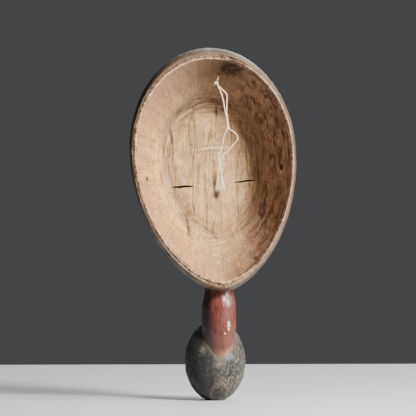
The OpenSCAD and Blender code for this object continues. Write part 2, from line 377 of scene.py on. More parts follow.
class Effects:
    """The effects that several finishes share, each built once as a node group."""

    def __init__(self) -> None:
        """Builds every group."""
        self.grain = self._grain()
        self.blotches = self._blotches()
        self.scratches = self._scratches()
        self.specks = self._specks()

    @staticmethod
    def _sheet(name: str, numbers: dict[str, float], outputs: Sequence[str]) -> tuple[NodeSheet, Sockets, Sockets]:
        """Starts a group.

        Args:
            name: the group's name.
            numbers: its number inputs and their first values; it also gets a Vector input.
            outputs: its number outputs.

        Returns:
            The sheet, the sockets that bring its inputs and the sockets that take its outputs.
        """
        tree = bpy.data.node_groups.new(name, "ShaderNodeTree")
        tree.interface.new_socket("Vector", in_out="INPUT", socket_type="NodeSocketVector")
        for label, value in numbers.items():
            tree.interface.new_socket(label, in_out="INPUT", socket_type="NodeSocketFloat").default_value = value
        for label in outputs:
            tree.interface.new_socket(label, in_out="OUTPUT", socket_type="NodeSocketFloat")
        sheet = NodeSheet(tree)
        return sheet, sheet.add("NodeGroupInput").outputs, sheet.add("NodeGroupOutput").inputs

    def _grain(self) -> bpy.types.NodeTree:
        """Returns long soft fibres of wood: a mask of the dark ones and their height."""
        sheet, given, out = self._sheet("wood_grain", {"Scale": 60.0, "Bend": 0.6}, ("Fibres", "Height"))
        broad = sheet.noise(given["Vector"], given["Scale"], Detail=3.0, Distortion=given["Bend"])
        finer = sheet.times(given["Scale"], 3.7)
        thin = sheet.noise(given["Vector"], finer, Detail=4.0, Roughness=0.65)
        height = sheet.calc("ADD", sheet.times(broad["Fac"], 0.55), sheet.times(thin["Fac"], 0.45))
        sheet.feed(out["Fibres"], sheet.remap(height, 0.56, 0.42))
        sheet.feed(out["Height"], height)
        return sheet.tree

    def _blotches(self) -> bpy.types.NodeTree:
        """Returns ragged patches that cover more of the surface as Cover grows."""
        sheet, given, out = self._sheet("blotches", {"Scale": 30.0, "Cover": 0.5, "Softness": 0.08}, ("Mask",))
        noise = sheet.noise(given["Vector"], given["Scale"], Detail=7.0, Roughness=0.62)
        edge = sheet.calc("SUBTRACT", 0.72, sheet.times(given["Cover"], 0.44))
        above = sheet.calc("DIVIDE", sheet.calc("SUBTRACT", noise["Fac"], edge), given["Softness"])
        sheet.feed(out["Mask"], sheet.calc("ADD", above, 0.5, clamp=True))
        return sheet.tree

    def _scratches(self) -> bpy.types.NodeTree:
        """Returns thin broken lines that run along the squeezed axis of the coordinates."""
        sheet, given, out = self._sheet("scratches", {"Scale": 20.0, "Width": 0.02, "Cover": 0.5}, ("Mask",))
        noise = sheet.noise(given["Vector"], given["Scale"], Detail=2.0, Distortion=0.3)
        line = sheet.calc("DIVIDE", sheet.calc("ABSOLUTE", sheet.calc("SUBTRACT", noise["Fac"], 0.5)), given["Width"])
        gaps = sheet.add(
            "ShaderNodeTexNoise",
            {"Vector": given["Vector"], "Scale": sheet.times(given["Scale"], 0.83), "Detail": 3.0, "W": 4.0},
            noise_dimensions="4D",
        )
        left = sheet.calc(
            "GREATER_THAN", gaps.outputs["Fac"], sheet.calc("SUBTRACT", 0.75, sheet.times(given["Cover"], 0.5))
        )
        sheet.feed(out["Mask"], sheet.times(sheet.calc("SUBTRACT", 1.0, line, clamp=True), left))
        return sheet.tree

    def _specks(self) -> bpy.types.NodeTree:
        """Returns scattered small flecks: Size is their reach in cells and Cover the share of cells that have one."""
        sheet, given, out = self._sheet("specks", {"Scale": 300.0, "Size": 0.35, "Cover": 0.4}, ("Mask",))
        warp = sheet.noise(given["Vector"], given["Scale"], Detail=2.0)
        shift = sheet.vector("MULTIPLY", warp["Color"], (0.004, 0.004, 0.004))
        bent = sheet.vector("ADD", given["Vector"], shift)
        cells = sheet.add("ShaderNodeTexVoronoi", {"Vector": bent, "Scale": given["Scale"]})
        pick = sheet.add("ShaderNodeSeparateColor", {0: cells.outputs["Color"]}).outputs[0]
        near = sheet.calc("DIVIDE", sheet.calc("SUBTRACT", given["Size"], cells.outputs["Distance"]), 0.12, clamp=True)
        sheet.feed(out["Mask"], sheet.times(near, sheet.calc("LESS_THAN", pick, given["Cover"])))
        return sheet.tree


# ---------------------------------------------------------------- finishes


class Coat(NodeSheet):
    """The node sheet of one material, whose colour is built up layer on layer."""

    def __init__(self, tree: bpy.types.NodeTree, effects: Effects) -> None:
        """Starts with a plain shader."""
        super().__init__(tree)
        self.effects = effects
        self.skin = self.add("ShaderNodeBsdfPrincipled")
        self.feed(self.add("ShaderNodeOutputMaterial").inputs["Surface"], self.skin.outputs[0])
        self.here = self.add("ShaderNodeTexCoord").outputs["Object"]
        self.colour: object = BLACK

    def _effect(
        self, tree: bpy.types.NodeTree, stretch: Scale3, at: Optional[Socket], **values: float
    ) -> bpy.types.Node:
        """Places a shared effect on the piece's own coordinates, stretched, or on others."""
        if at is None:
            at = self.here if stretch == EVEN else self.scaled(self.here, stretch)
        return self.group(tree, Vector=at, **values)

    def patches(
        self, scale: float, cover: float, softness: float, stretch: Scale3 = EVEN, at: Optional[Socket] = None
    ) -> Socket:
        """Returns a mask of ragged patches."""
        values = {"Scale": scale, "Cover": cover, "Softness": softness}
        return self._effect(self.effects.blotches, stretch, at, **values).outputs[0]

    def lines(
        self, scale: float, width: float, cover: float, stretch: Scale3 = EVEN, at: Optional[Socket] = None
    ) -> Socket:
        """Returns a mask of thin broken lines."""
        values = {"Scale": scale, "Width": width, "Cover": cover}
        return self._effect(self.effects.scratches, stretch, at, **values).outputs[0]

    def flecks(self, scale: float, size: float, cover: float, stretch: Scale3 = EVEN) -> Socket:
        """Returns a mask of scattered small flecks."""
        return self._effect(self.effects.specks, stretch, None, Scale=scale, Size=size, Cover=cover).outputs[0]

    def grain(self, scale: float, bend: float, stretch: Scale3 = EVEN, at: Optional[Socket] = None) -> Sequence[Socket]:
        """Returns the mask and the height of long fibres of wood."""
        return self._effect(self.effects.grain, stretch, at, Scale=scale, Bend=bend).outputs

    def part(self, vector: Socket, axis: str) -> Socket:
        """Returns one coordinate of a vector."""
        return self.add("ShaderNodeSeparateXYZ", {0: vector}).outputs[axis]

    def span(self, mask: object, low: float, high: float) -> Socket:
        """Returns a mask, from 0 to 1, stretched to another range."""
        return self.remap(mask, 0.0, 1.0, low, high)

    def most(self, a: object, b: object) -> Socket:
        """Returns the greater of two masks."""
        return self.calc("MAXIMUM", a, b)

    def plus(self, a: object, b: object) -> Socket:
        """Returns a sum."""
        return self.calc("ADD", a, b)

    def minus(self, a: object, b: object) -> Socket:
        """Returns a difference."""
        return self.calc("SUBTRACT", a, b)

    def lay(self, tint: Colour, *masks: object, mode: str = "MIX") -> None:
        """Lays a tint on the colour so far, where every mask lets it."""
        self.colour = self.blend(self.times(*masks), self.colour, tint, mode)

    def set(self, name: str, value: object) -> None:
        """Sets or feeds one input of the shader."""
        self.feed(self.skin.inputs[name], value)

    def bump(self, height: Socket, depth: float, strength: float = 1.0) -> None:
        """Roughens the surface by a height that varies from 0 to 1 over depth metres."""
        node = self.add("ShaderNodeBump", {"Strength": strength, "Distance": depth, "Height": height})
        self.set("Normal", node.outputs[0])


@dataclass(frozen=True)
class Finish:
    """A finish: its colours and gloss, and the layers that make it look old."""

    name: str
    effects: Effects

    def make(self) -> bpy.types.Material:
        """Builds the material from this finish's layers."""
        material = bpy.data.materials.new(self.name)
        material.use_nodes = True
        self.dress(Coat(material.node_tree, self.effects))
        return material

    def dress(self, on: Coat) -> None:
        """Feeds the shader; each finish does it its own way."""
        raise NotImplementedError


@dataclass(frozen=True)
class HollowWood(Finish):
    """Bare wood inside the mask: dusty and gouged, stained, with painted shade on the top and right walls and painted
    light on the lower floor, warm on the left and pale on the rim's edge, partly worn and partly a painted highlight.
    """

    dusty: Colour = (0.68, 0.43, 0.198)
    tan: Colour = (0.45, 0.288, 0.146)
    brown: Colour = (0.17, 0.098, 0.056)
    red: Colour = (0.25, 0.125, 0.086)
    rust: Colour = (0.27, 0.115, 0.075)
    stain_and_shade: Colour = (0.06, 0.034, 0.023)
    warm: Colour = (0.97, 0.84, 0.64)
    chalk_and_light: Colour = (0.78, 0.50, 0.235)
    umber: Colour = (0.18, 0.122, 0.088)
    rose: Colour = (0.40, 0.185, 0.105)
    worn: Colour = (0.80, 0.52, 0.29)
    liver: Colour = (0.095, 0.048, 0.034)
    bare: Colour = (0.46, 0.33, 0.235)
    pale: Colour = (0.73, 0.525, 0.315)
    dark: Colour = (0.035, 0.02, 0.013)
    hole: tuple[float, float, float] = (70.5, -29.0, 258.8)

    def dress(self, on: Coat) -> None:
        """Lays dust, gouge marks, stains and cracks on bare wood, with painted shade on the top and right walls, in the
        floor's middle groove and under the crown, painted light on the lower floor and painted highlights on the rim's
        edge and by the right temple hole.
        """
        ring, share, edge = on.stored("ring", True), on.stored("share"), on.stored("edge")
        ridge, gouge, mark, blush = (on.stored(n) for n in ("ridge", "gouge", "mark", "blush"))
        wall = on.remap(share, 0.62, 0.74)
        floor = on.minus(1.0, wall)
        patches = on.patches(55.0, 0.52, 0.25)
        flakes = on.patches(210.0, 0.42, 0.16, (1.0, 1.0, 0.45))
        upright = on.scaled(on.here, (1.0, 0.6, 0.09))
        fibres = on.grain(420.0, 0.2, at=upright)
        strokes = on.lines(170.0, 0.04, 0.5, at=upright)
        hoops = on.lines(1.0, 0.05, 0.62, at=on.scaled(ring, (1.6, 1.6, 64.0)))
        band = on.times(on.remap(share, 0.45, 0.53), on.remap(share, 0.72, 0.62))
        spokes = on.lines(1.0, 0.045, 0.5, at=on.scaled(ring, (40.0, 40.0, 2.6)))
        on.colour = self.tan
        on.lay(self.dusty, on.remap(patches, 0.1, 0.9))
        on.lay(self.pale, flakes, 0.5)
        motes = on.patches(430.0, 0.40, 0.10, (1.0, 1.0, 0.6))
        on.lay(self.brown, motes, 0.34)
        on.lay(self.brown, fibres["Fibres"], 0.28)
        on.lay(self.pale, on.remap(ridge, 0.08, 0.5, 0.0, 0.55))
        on.lay(self.brown, on.remap(ridge, -0.06, -0.5, 0.0, 0.4))
        on.lay(self.brown, on.remap(gouge, 0.35, 1.0), 0.16)
        cloud = on.patches(38.0, 0.72, 0.4)
        # red staining near the rim, deepened as painted shade on the top and right walls
        stain_and_shade = on.most(on.times(on.remap(share, 0.72, 0.97), 0.62), blush)
        on.lay(self.red, stain_and_shade, on.span(cloud, 0.45, 1.0))
        sideways = on.part(ring, "X")
        right = on.times(on.remap(sideways, 0.25, 0.8), on.remap(share, 0.62, 0.76))
        sweat = on.patches(105.0, 0.5, 0.12, (1.0, 1.0, 0.4))
        left = on.times(on.remap(sideways, -0.1, -0.75), on.remap(share, 0.58, 0.8))
        on.lay(self.warm, left, mode="MULTIPLY")
        band_l = on.times(
            on.remap(sideways, -0.2, -0.6),
            on.remap(share, 0.86, 0.95),
            on.remap(cloud, 0.1, 0.9, 0.1, 0.6),
            on.span(flakes, 0.5, 1.0),
        )
        on.lay(self.rose, band_l)
        around = on.part(ring, "Y")
        # painted light: the lower half of the floor is paler, in dusty patches
        on.lay(self.chalk_and_light, on.remap(around, 0.0, -0.9), floor, on.span(patches, 0.05, 0.35))
        shaded = on.most(on.remap(around, 0.05, 0.75), on.remap(sideways, 0.35, 0.8))
        on.lay(self.umber, shaded, on.remap(share, 0.565, 0.60), on.span(cloud, 0.35, 0.6))
        # painted shade: the right wall is darkened in sweat-like patches; the rust and bare patches below are its own
        # mottling
        on.lay(self.stain_and_shade, sweat, right, 0.9)
        rust = on.patches(180.0, 0.40, 0.1, (1.0, 1.0, 0.5))
        on.lay(self.rust, rust, right, 0.55)
        bare = on.patches(330.0, 0.36, 0.07, (1.0, 1.0, 0.22))
        on.lay(self.bare, bare, right, 0.6)
        on.lay(self.dark, strokes, floor, 0.55)
        upper = on.remap(around, -0.75, 0.1, 0.35, 1.0)
        on.lay(self.dark, hoops, band, upper, 0.6)
        on.lay(self.brown, spokes, wall, 0.32)
        pits = on.flecks(330.0, 0.26, 0.1)
        on.lay(self.dark, pits, 0.6)
        ragged = on.patches(240.0, 0.6, 0.3)
        # dark cracks and knocks, and painted shade in the floor's middle groove and under the crown
        soot_and_shade = on.times(mark, on.remap(ragged, 0.0, 0.8, 0.45, 1.0))
        on.lay(self.dark, soot_and_shade)
        handled = on.patches(95.0, 0.58, 0.22)
        on.lay(self.brown, on.remap(edge, 0.42, 0.72), on.span(handled, 0.95, 0.4))
        on.lay(self.liver, on.remap(edge, 0.3, 0.6), on.remap(sideways, 0.1, 0.7), 0.85)
        # the pale line on the rim's edge is partly worn bare wood and partly a painted highlight where the edge faces
        # the light
        lip = on.stored("lip")
        bright = on.times(lip, on.span(flakes, 0.55, 1.0), on.span(handled, 0.45, 1.0))
        on.lay(self.worn, bright, on.remap(mark, 0.5, 0.1))
        nicks = on.patches(270.0, 0.5, 0.1)
        on.lay(self.dark, on.remap(edge, 0.35, 0.65), nicks, on.remap(lip, 0.0, 0.8, 0.85, 0.25))
        # a dark patch round the right temple hole's inner mouth, and below it a pale painted highlight, partly worn
        # wood, on the hole's lower edge
        for at, size, tint in ((0.0, (6.0, 3.4, 4.4), self.dark), (-5.2, (6.0, 1.7, 1.7), self.worn)):
            near = on.spot(on.here, np.array(self.hole) + (0, -0.3 * at, at), size)
            on.lay(tint, near, on.remap(ragged, 0.0, 0.6, 0.3, 1.0))
        on.set("Base Color", on.colour)
        on.set("Roughness", on.span(flakes, 0.78, 0.94))
        on.set("Specular IOR Level", 0.25)
        height = on.minus(fibres["Height"], on.plus(on.times(strokes, floor, 0.7), on.times(hoops, band, 0.9)))
        height = on.minus(on.plus(height, on.times(flakes, 0.25)), on.plus(on.times(spokes, wall, 0.5), pits))
        on.bump(height, 0.0009, 0.8)


@dataclass(frozen=True)
class FacePatina(Finish):
    """The dark, handled outside of the mask, worn to brown and bare wood where it stands proud."""

    night: Colour = (0.022, 0.014, 0.010)
    brown: Colour = (0.085, 0.045, 0.026)
    bare: Colour = (0.33, 0.20, 0.115)
    moss: Colour = (0.085, 0.070, 0.047)
    dust: Colour = (0.19, 0.185, 0.175)
    crown_z: float = 0.34
    chin_z: float = 0.13

    def dress(self, on: Coat) -> None:
        """Lays wear, dust and rubbed edges on a dark stain."""
        ridge, edge, hair = on.stored("ridge"), on.stored("edge"), on.stored("hair")
        cloud = on.patches(42.0, 0.55, 0.3)
        fibres = on.grain(380.0, 0.3, (1.0, 1.0, 0.12))
        flakes = on.patches(170.0, 0.34, 0.1)
        high = on.part(on.here, "Z")
        on.colour = self.night
        on.lay(self.brown, cloud)
        on.lay(self.night, fibres["Fibres"], 0.5)
        on.lay(self.bare, on.remap(ridge, 0.16, 0.75), on.span(cloud, 0.25, 0.6))
        crown = on.most(on.remap(high, self.crown_z, self.crown_z + 0.03), on.times(hair, 0.6))
        on.lay(self.moss, crown, on.span(flakes, 0.35, 0.9))
        scuffs = on.lines(120.0, 0.05, 0.45, (1.0, 1.0, 0.5))
        on.lay(self.dust, scuffs, on.span(crown, 0.12, 0.5))
        peppered = on.patches(330.0, 0.44, 0.07)
        chin = on.remap(high, self.chin_z + 0.035, self.chin_z, 0.0, 0.9)
        rubbed = on.times(on.remap(on.plus(edge, on.times(chin, 0.4)), 0.5, 0.9), on.span(peppered, 1.0, 0.12))
        on.lay(self.bare, rubbed)
        on.set("Base Color", on.colour)
        on.set("Roughness", on.span(cloud, 0.62, 0.42))
        on.bump(on.minus(fibres["Height"], on.times(scuffs, 0.5)), 0.0006, 0.7)


@dataclass(frozen=True)
class CutWood(Finish):
    """The walls of slits, holes and cracks: dirty end grain in shade."""

    dirt: Colour = (0.05, 0.028, 0.017)
    wood: Colour = (0.16, 0.085, 0.045)

    def dress(self, on: Coat) -> None:
        """Streaks dirt along the cut."""
        fibres = on.grain(500.0, 0.2, (1.0, 0.2, 1.0))
        on.set("Base Color", on.blend(fibres["Fibres"], self.wood, self.dirt))
        on.set("Roughness", 0.9)
        on.bump(fibres["Height"], 0.0004)


@dataclass(frozen=True)
class RedPaint(Finish):
    """Old brick-red paint on the neck, still a little glossy, chipped and worn through at its lower edge."""

    axis: tuple[float, float] = (0.0, 0.0)
    red: Colour = (0.088, 0.022, 0.016)
    bright: Colour = (0.155, 0.038, 0.026)
    soot_and_shade: Colour = (0.024, 0.010, 0.008)
    cream: Colour = (0.66, 0.55, 0.38)
    wood: Colour = (0.36, 0.22, 0.13)

    def dress(self, on: Coat) -> None:
        """Lays grime, painted shade on the left side, scratches, chips and a worn end on the paint."""
        cloud = on.patches(75.0, 0.5, 0.35, (1.0, 1.0, 0.5))
        on.colour = self.red
        on.lay(self.bright, cloud)
        grime = on.patches(210.0, 0.42, 0.14, (1.0, 1.0, 0.35))
        x, y = self.axis
        across = on.part(on.here, "X")
        # painted shade: the neck's left side, away from the light, is darkened nearly to black; grime patches darken
        # the rest a little
        away = on.remap(across, (x - 3) * MM, (x - 13) * MM, 0.4, 1.0)
        on.lay(self.soot_and_shade, on.most(grime, on.remap(away, 0.5, 1.0, 0.0, 1.0)), on.times(away, 0.95))
        lines = on.lines(170.0, 0.045, 0.5, (1.0, 1.0, 0.12))
        on.lay(self.soot_and_shade, lines, 0.55)
        hoops = on.lines(130.0, 0.03, 0.28, (0.2, 0.2, 1.0))
        on.lay(self.soot_and_shade, hoops, 0.45)
        chips = on.flecks(150.0, 0.2, 0.07, (1.0, 1.0, 0.5))
        ragged = on.patches(420.0, 0.52, 0.07)
        for at, size in (((x + 10.0, y - 15.5, 84.0), (2.1, 6.0, 6.2)), ((x + 6.0, y - 18.0, 76.0), (1.3, 5.0, 1.4))):
            chips = on.most(chips, on.times(on.spot(on.here, np.array(at), size), ragged))
        worn = on.times(on.stored("worn"), on.span(ragged, 0.4, 1.0))
        on.lay(self.wood, worn)
        on.lay(self.cream, chips)
        on.set("Base Color", on.colour)
        on.set("Roughness", on.span(on.most(grime, worn), 0.24, 0.55))
        height = on.minus(on.times(cloud, 0.4), on.plus(on.times(lines, 0.5), on.times(chips, 0.9)))
        on.bump(height, 0.0006, 0.6)


@dataclass(frozen=True)
class CharcoalPaint(Finish):
    """Charcoal paint on the ball, flecked through to brown wood along the grain."""

    black: Colour = (0.012, 0.012, 0.012)
    slate: Colour = (0.032, 0.035, 0.037)
    brown: Colour = (0.088, 0.068, 0.048)
    ash: Colour = (0.175, 0.165, 0.14)
    tan: Colour = (0.21, 0.165, 0.115)
    sheen_grey: Colour = (0.135, 0.15, 0.165)

    def dress(self, on: Coat) -> None:
        """Lays flecks, rubbed patches and the wear round the neck's tip on dark paint, keeps the left side dark as
        painted shade and adds a painted grey-blue sheen right of the neck's tip.
        """
        tall = on.scaled(on.here, (1.0, 1.0, 0.32))
        cloud = on.patches(48.0, 0.45, 0.4)
        on.colour = self.black
        on.lay(self.slate, cloud, 0.8)
        split = on.add("ShaderNodeSeparateXYZ", {0: on.here})
        # painted shade: flecks, rubbed patches and scratches fade out towards the ball's left side, which stays
        # near-black
        side = on.remap(split.outputs["X"], -0.024, 0.032)
        low = on.remap(split.outputs["Z"], 0.07, 0.01, 0.45, 1.0)
        rubbed = on.patches(150.0, 0.44, 0.12, at=tall)
        on.lay(self.brown, rubbed, side, low, 0.3)
        flecks = on.patches(640.0, 0.40, 0.05, (1.0, 1.0, 0.5))
        on.lay(self.ash, flecks, side, low, 0.8)
        chips = on.patches(430.0, 0.34, 0.05, (1.0, 1.0, 0.5))
        on.lay(self.tan, chips, side, low)
        lines = on.lines(200.0, 0.04, 0.5, (1.0, 1.0, 0.16))
        on.lay(self.brown, lines, side, 0.8)
        ragged = on.patches(380.0, 0.6, 0.2)
        worn = on.times(on.stored("worn"), on.span(ragged, 0.35, 1.0))
        on.lay(self.tan, worn)
        # painted sheen: a grey-blue glossy patch on the ball, right of the neck's tip
        painted_sheen = on.spot(on.here, np.array((13.0, -26.0, 49.5)), (7.5, 16.0, 4.5))
        on.lay(self.sheen_grey, painted_sheen, on.span(ragged, 0.9, 0.5))
        on.set("Base Color", on.colour)
        on.set("Roughness", on.span(on.most(rubbed, worn), 0.42, 0.75))
        on.set("Specular IOR Level", 0.32)
        height = on.minus(on.times(cloud, 0.3), on.plus(on.times(flecks, 0.6), on.times(lines, 0.5)))
        on.bump(height, 0.0007, 0.7)


@dataclass(frozen=True)
class PlainWood(Finish):
    """Bare stick wood, for the dowels and the peg."""

    light: Colour = (0.55, 0.38, 0.22)
    dark: Colour = (0.30, 0.18, 0.09)
    scale: float = 600.0
    stretch: tuple[float, float, float] = (1.0, 1.0, 0.08)

    def dress(self, on: Coat) -> None:
        """Runs the grain along the stick."""
        fibres = on.grain(self.scale, 0.3, self.stretch)
        grime = on.patches(300.0, 0.35, 0.2)
        on.colour = self.light
        on.lay(self.dark, fibres["Fibres"])
        on.set("Base Color", on.blend(on.times(grime, 0.5), on.colour, self.dark))
        on.set("Roughness", 0.7)
        on.bump(fibres["Height"], 0.0003)


@dataclass(frozen=True)
class Twine(Finish):
    """Off-white twisted fibre, with painted shade between its plies, and dusty in patches."""

    fibre: Colour = (0.84, 0.75, 0.57)
    shade: Colour = (0.50, 0.39, 0.25)

    def dress(self, on: Coat) -> None:
        """Streaks the fibres, paints shade into the folds between the plies and dusts it in patches."""
        fuzz = on.grain(1600.0, 0.5)
        dust = on.patches(260.0, 0.45, 0.3)
        fold = on.most(on.stored("fold"), on.times(fuzz["Fibres"], 0.4))
        on.colour = self.fibre
        # painted shade in the grooves between the plies
        on.lay(self.shade, fold, 0.7)
        on.set("Base Color", on.blend(on.times(dust, 0.25), on.colour, self.shade))
        on.set("Roughness", on.remap(fuzz["Height"], 0.3, 0.7, 0.82, 0.96))
        on.set("Sheen Weight", 0.3)
        on.bump(fuzz["Height"], 0.0002)


@dataclass(frozen=True)
class PaleFloor(Finish):
    """The plain pale floor of the stage."""

    pale: Colour = (0.52, 0.53, 0.54)
    grey: Colour = (0.47, 0.48, 0.49)

    def dress(self, on: Coat) -> None:
        """Varies the grey a little."""
        cloud = on.patches(6.0, 0.5, 0.6)
        on.set("Base Color", on.blend(cloud, self.pale, self.grey))
        on.set("Roughness", 0.8)


# ---------------------------------------------------------------- the mask


@dataclass(frozen=True)
class MaskForm:
    """The rule of the mask's surfaces, in millimetres, in the mask's own frame."""

    rim_w: float = 178.0
    crown_h: float = 108.0
    chin_h: float = 147.0
    chin_point: float = 1.22
    rim_t: float = 4.0
    roll: float = math.radians(5.0)
    dome_depth: float = 82.0
    side_swell: float = 6.0
    end_swell: float = 12.0
    hollow_depth: float = 62.0
    floor_drop: float = 12.0
    eye_drop: float = 36.0
    eye_pitch: float = 69.0
    slit_l: float = 25.5
    slit_tilt: float = math.radians(18.0)
    nose_h: float = 19.0
    jaw_h: float = 12.0
    hair_h: float = 2.5
    hole_r: float = 2.75
    hole_in: float = 23.0
    hole_drop: float = 23.0

    @property
    def eye_z(self) -> float:
        """Returns the height of the slits' outer ends."""
        return -self.eye_drop - 0.7 * (self.dome_depth - self.hollow_depth) * math.tan(self.slit_tilt)

    @property
    def lower_face(self) -> float:
        """Returns the height from the eyes to the chin's rim."""
        return self.chin_h - self.eye_drop

    @property
    def nose_z(self) -> float:
        """Returns the height of the nose's underside."""
        return self.eye_z - 0.42 * self.lower_face

    @property
    def mouth_z(self) -> float:
        """Returns the height of the line between the lips."""
        return self.eye_z - 0.62 * self.lower_face

    @property
    def hair_z(self) -> float:
        """Returns the height of the hair's edge at the middle."""
        return self.eye_z + 0.62 * (self.crown_h + self.eye_drop)

    def egg(self, turn: Array, inset: float = 0.0) -> tuple[Array, Array]:
        """Returns the rim's x and z at an angle, set in from its outer edge."""
        c, s = np.cos(turn), np.sin(turn)
        low = s < 0
        x = (self.rim_w / 2 - inset) * np.where(low, np.sign(c) * np.abs(c) ** self.chin_point, c)
        return x, s * np.where(low, self.chin_h - inset, self.crown_h - inset)

    def hair(self, x: Array, z: Array) -> Array:
        """Returns 1 over the carved hair and 0 on the face."""
        return clamp01((z - self.hair_z + 0.006 * x * x) / 5)

    def relief(self, x: Array, z: Array) -> Array:
        """Returns how far the carved face stands out of the plain dome."""
        eye, nose_z, mouth_z = self.eye_z, self.nose_z, self.mouth_z
        brow, jaw = eye + 17, eye - 0.87 * self.lower_face
        side, cheek = np.abs(x) - self.eye_pitch / 2, np.abs(x) - 0.66 * self.eye_pitch
        down = clamp01((brow - z) / (brow - nose_z))
        under = np.where(z < nose_z, bell(z - nose_z, 5), 1.0)
        high = self.nose_h * down**1.3 * under * bell(x, 7 + 8 * down)
        high = high + 4.5 * bell(z - brow + 0.004 * x * x, 7) * bell(side, 24) - 5 * bell(z - eye, 13) * bell(side, 18)
        high = high + 4 * bell(z - eye, 6) * bell(side, 14) + 4 * bell(z - nose_z - 10, 20) * bell(cheek, 17)
        high = high + self.jaw_h * bell(z - jaw - 8, 34) * bell(x, 34) + 5 * bell(z - mouth_z - 4, 4.5) * bell(x, 19)
        high = high + 6 * bell(z - mouth_z + 5, 5.5) * bell(x, 16) - 3 * bell(z - mouth_z, 2) * bell(x, 23)
        return high + 5 * bell(z - jaw, 11) * bell(x, 18) + self.hair_h * self.hair(x, z)

    def features(self, x: Array, z: Array) -> Array:
        """Returns the finer cuts of the face: lids, brows, nose wings, nostrils and the edges of the lips."""
        eye, nose_z, mouth_z = self.eye_z, self.nose_z, self.mouth_z
        side, wing = np.abs(x) - self.eye_pitch / 2, np.abs(x)
        lid = np.hypot(side / 15.5, (z - eye) / 8.2)
        upper = clamp01((z - eye + 2) / 3)
        fine = (
            0.7 * bell(lid - 1.0, 0.15) - 1.3 * bell(lid - 1.3, 0.13) * upper
            - 0.3 * bell(lid - 1.25, 0.15) * (1 - upper)
        )
        arch = z - eye - 16 + 0.006 * side**2
        fine = fine + 1.2 * bell(arch, 2.6) * bell(side, 21) - 0.8 * bell(arch + 5, 1.8) * bell(side, 19)
        fine = (
            fine + 2.6 * bell(wing - 9.5, 3.4) * bell(z - nose_z - 3.5, 4.6)
            - 1.4 * bell(wing - 14.2, 1.8) * bell(z - nose_z - 4, 6)
        )
        fine = (
            fine - 3.2 * bell(wing - 5.2, 2.3) * bell(z - nose_z + 1.2, 2.0)
            - 1.0 * bell(x, 2.2) * bell(z - (nose_z + mouth_z) / 2, 5.5)
        )
        bow = z - mouth_z - 9.2 + 0.022 * x * x - 1.2 * bell(x, 3)
        fine = fine - 1.5 * bell(z - mouth_z + 0.004 * x * x, 1.1) * bell(x, 21) + 0.8 * bell(bow, 1.2) * bell(x, 16)
        return fine - 1.6 * bell(z - mouth_z + 13.5 - 0.01 * x * x, 3.0) * bell(x, 14)

    def outer(self, turn: Array, rise: Array, grow: float, fine: bool = True) -> Array:
        """Returns points of the outside.

        Args:
            turn: angle round the rim, from the wearer's right towards the crown.
            rise: angle from the rim, 0, to the middle of the face, a quarter turn.
            grow: how far out of the rule's surface they lie.
            fine: whether the finer cuts of the face are in.

        Returns:
            Their places, one vector for each angle pair.
        """
        rx, rz = self.egg(turn)
        reach = np.hypot(rx, rz)
        swell = self.side_swell * np.cos(turn) ** 2 + self.end_swell * np.sin(turn) ** 2
        full = 1.1 - 0.4 * np.maximum(0, -np.sin(turn)) ** 2
        share = np.maximum(np.cos(rise), 0) ** full + swell * np.sin(math.pi * np.sin(rise) ** 0.7) / reach
        scale = np.maximum(share + grow / reach * clamp01(share * 8), 0)
        x, z = rx * scale, rz * scale
        high = self.relief(x, z) + (self.features(x, z) if fine else 0)
        return np.stack(
            [x, self.dome_depth * np.sin(rise) + high * clamp01(3 * np.sin(rise)) + grow * np.sin(rise), z], axis=-1
        )

    def inner(self, turn: Array, share: Array) -> Array:
        """Returns points of the hollow, from its middle, share 0, to the rim, share 1."""
        x, z = self.egg(turn, self.rim_t)
        return np.stack(
            [x * share, self.hollow_depth * (1 - share**4) + 0 * turn, z * share - self.floor_drop * (1 - share**2)],
            axis=-1,
        )

    def rolled(self, points: Array) -> Array:
        """Returns points or directions turned as the mask leans, about its middle."""
        c, s = math.cos(self.roll), math.sin(self.roll)
        x, y, z = np.moveaxis(np.asarray(points, dtype=float), -1, 0)
        return np.stack([x * c - z * s, y, x * s + z * c], axis=-1)


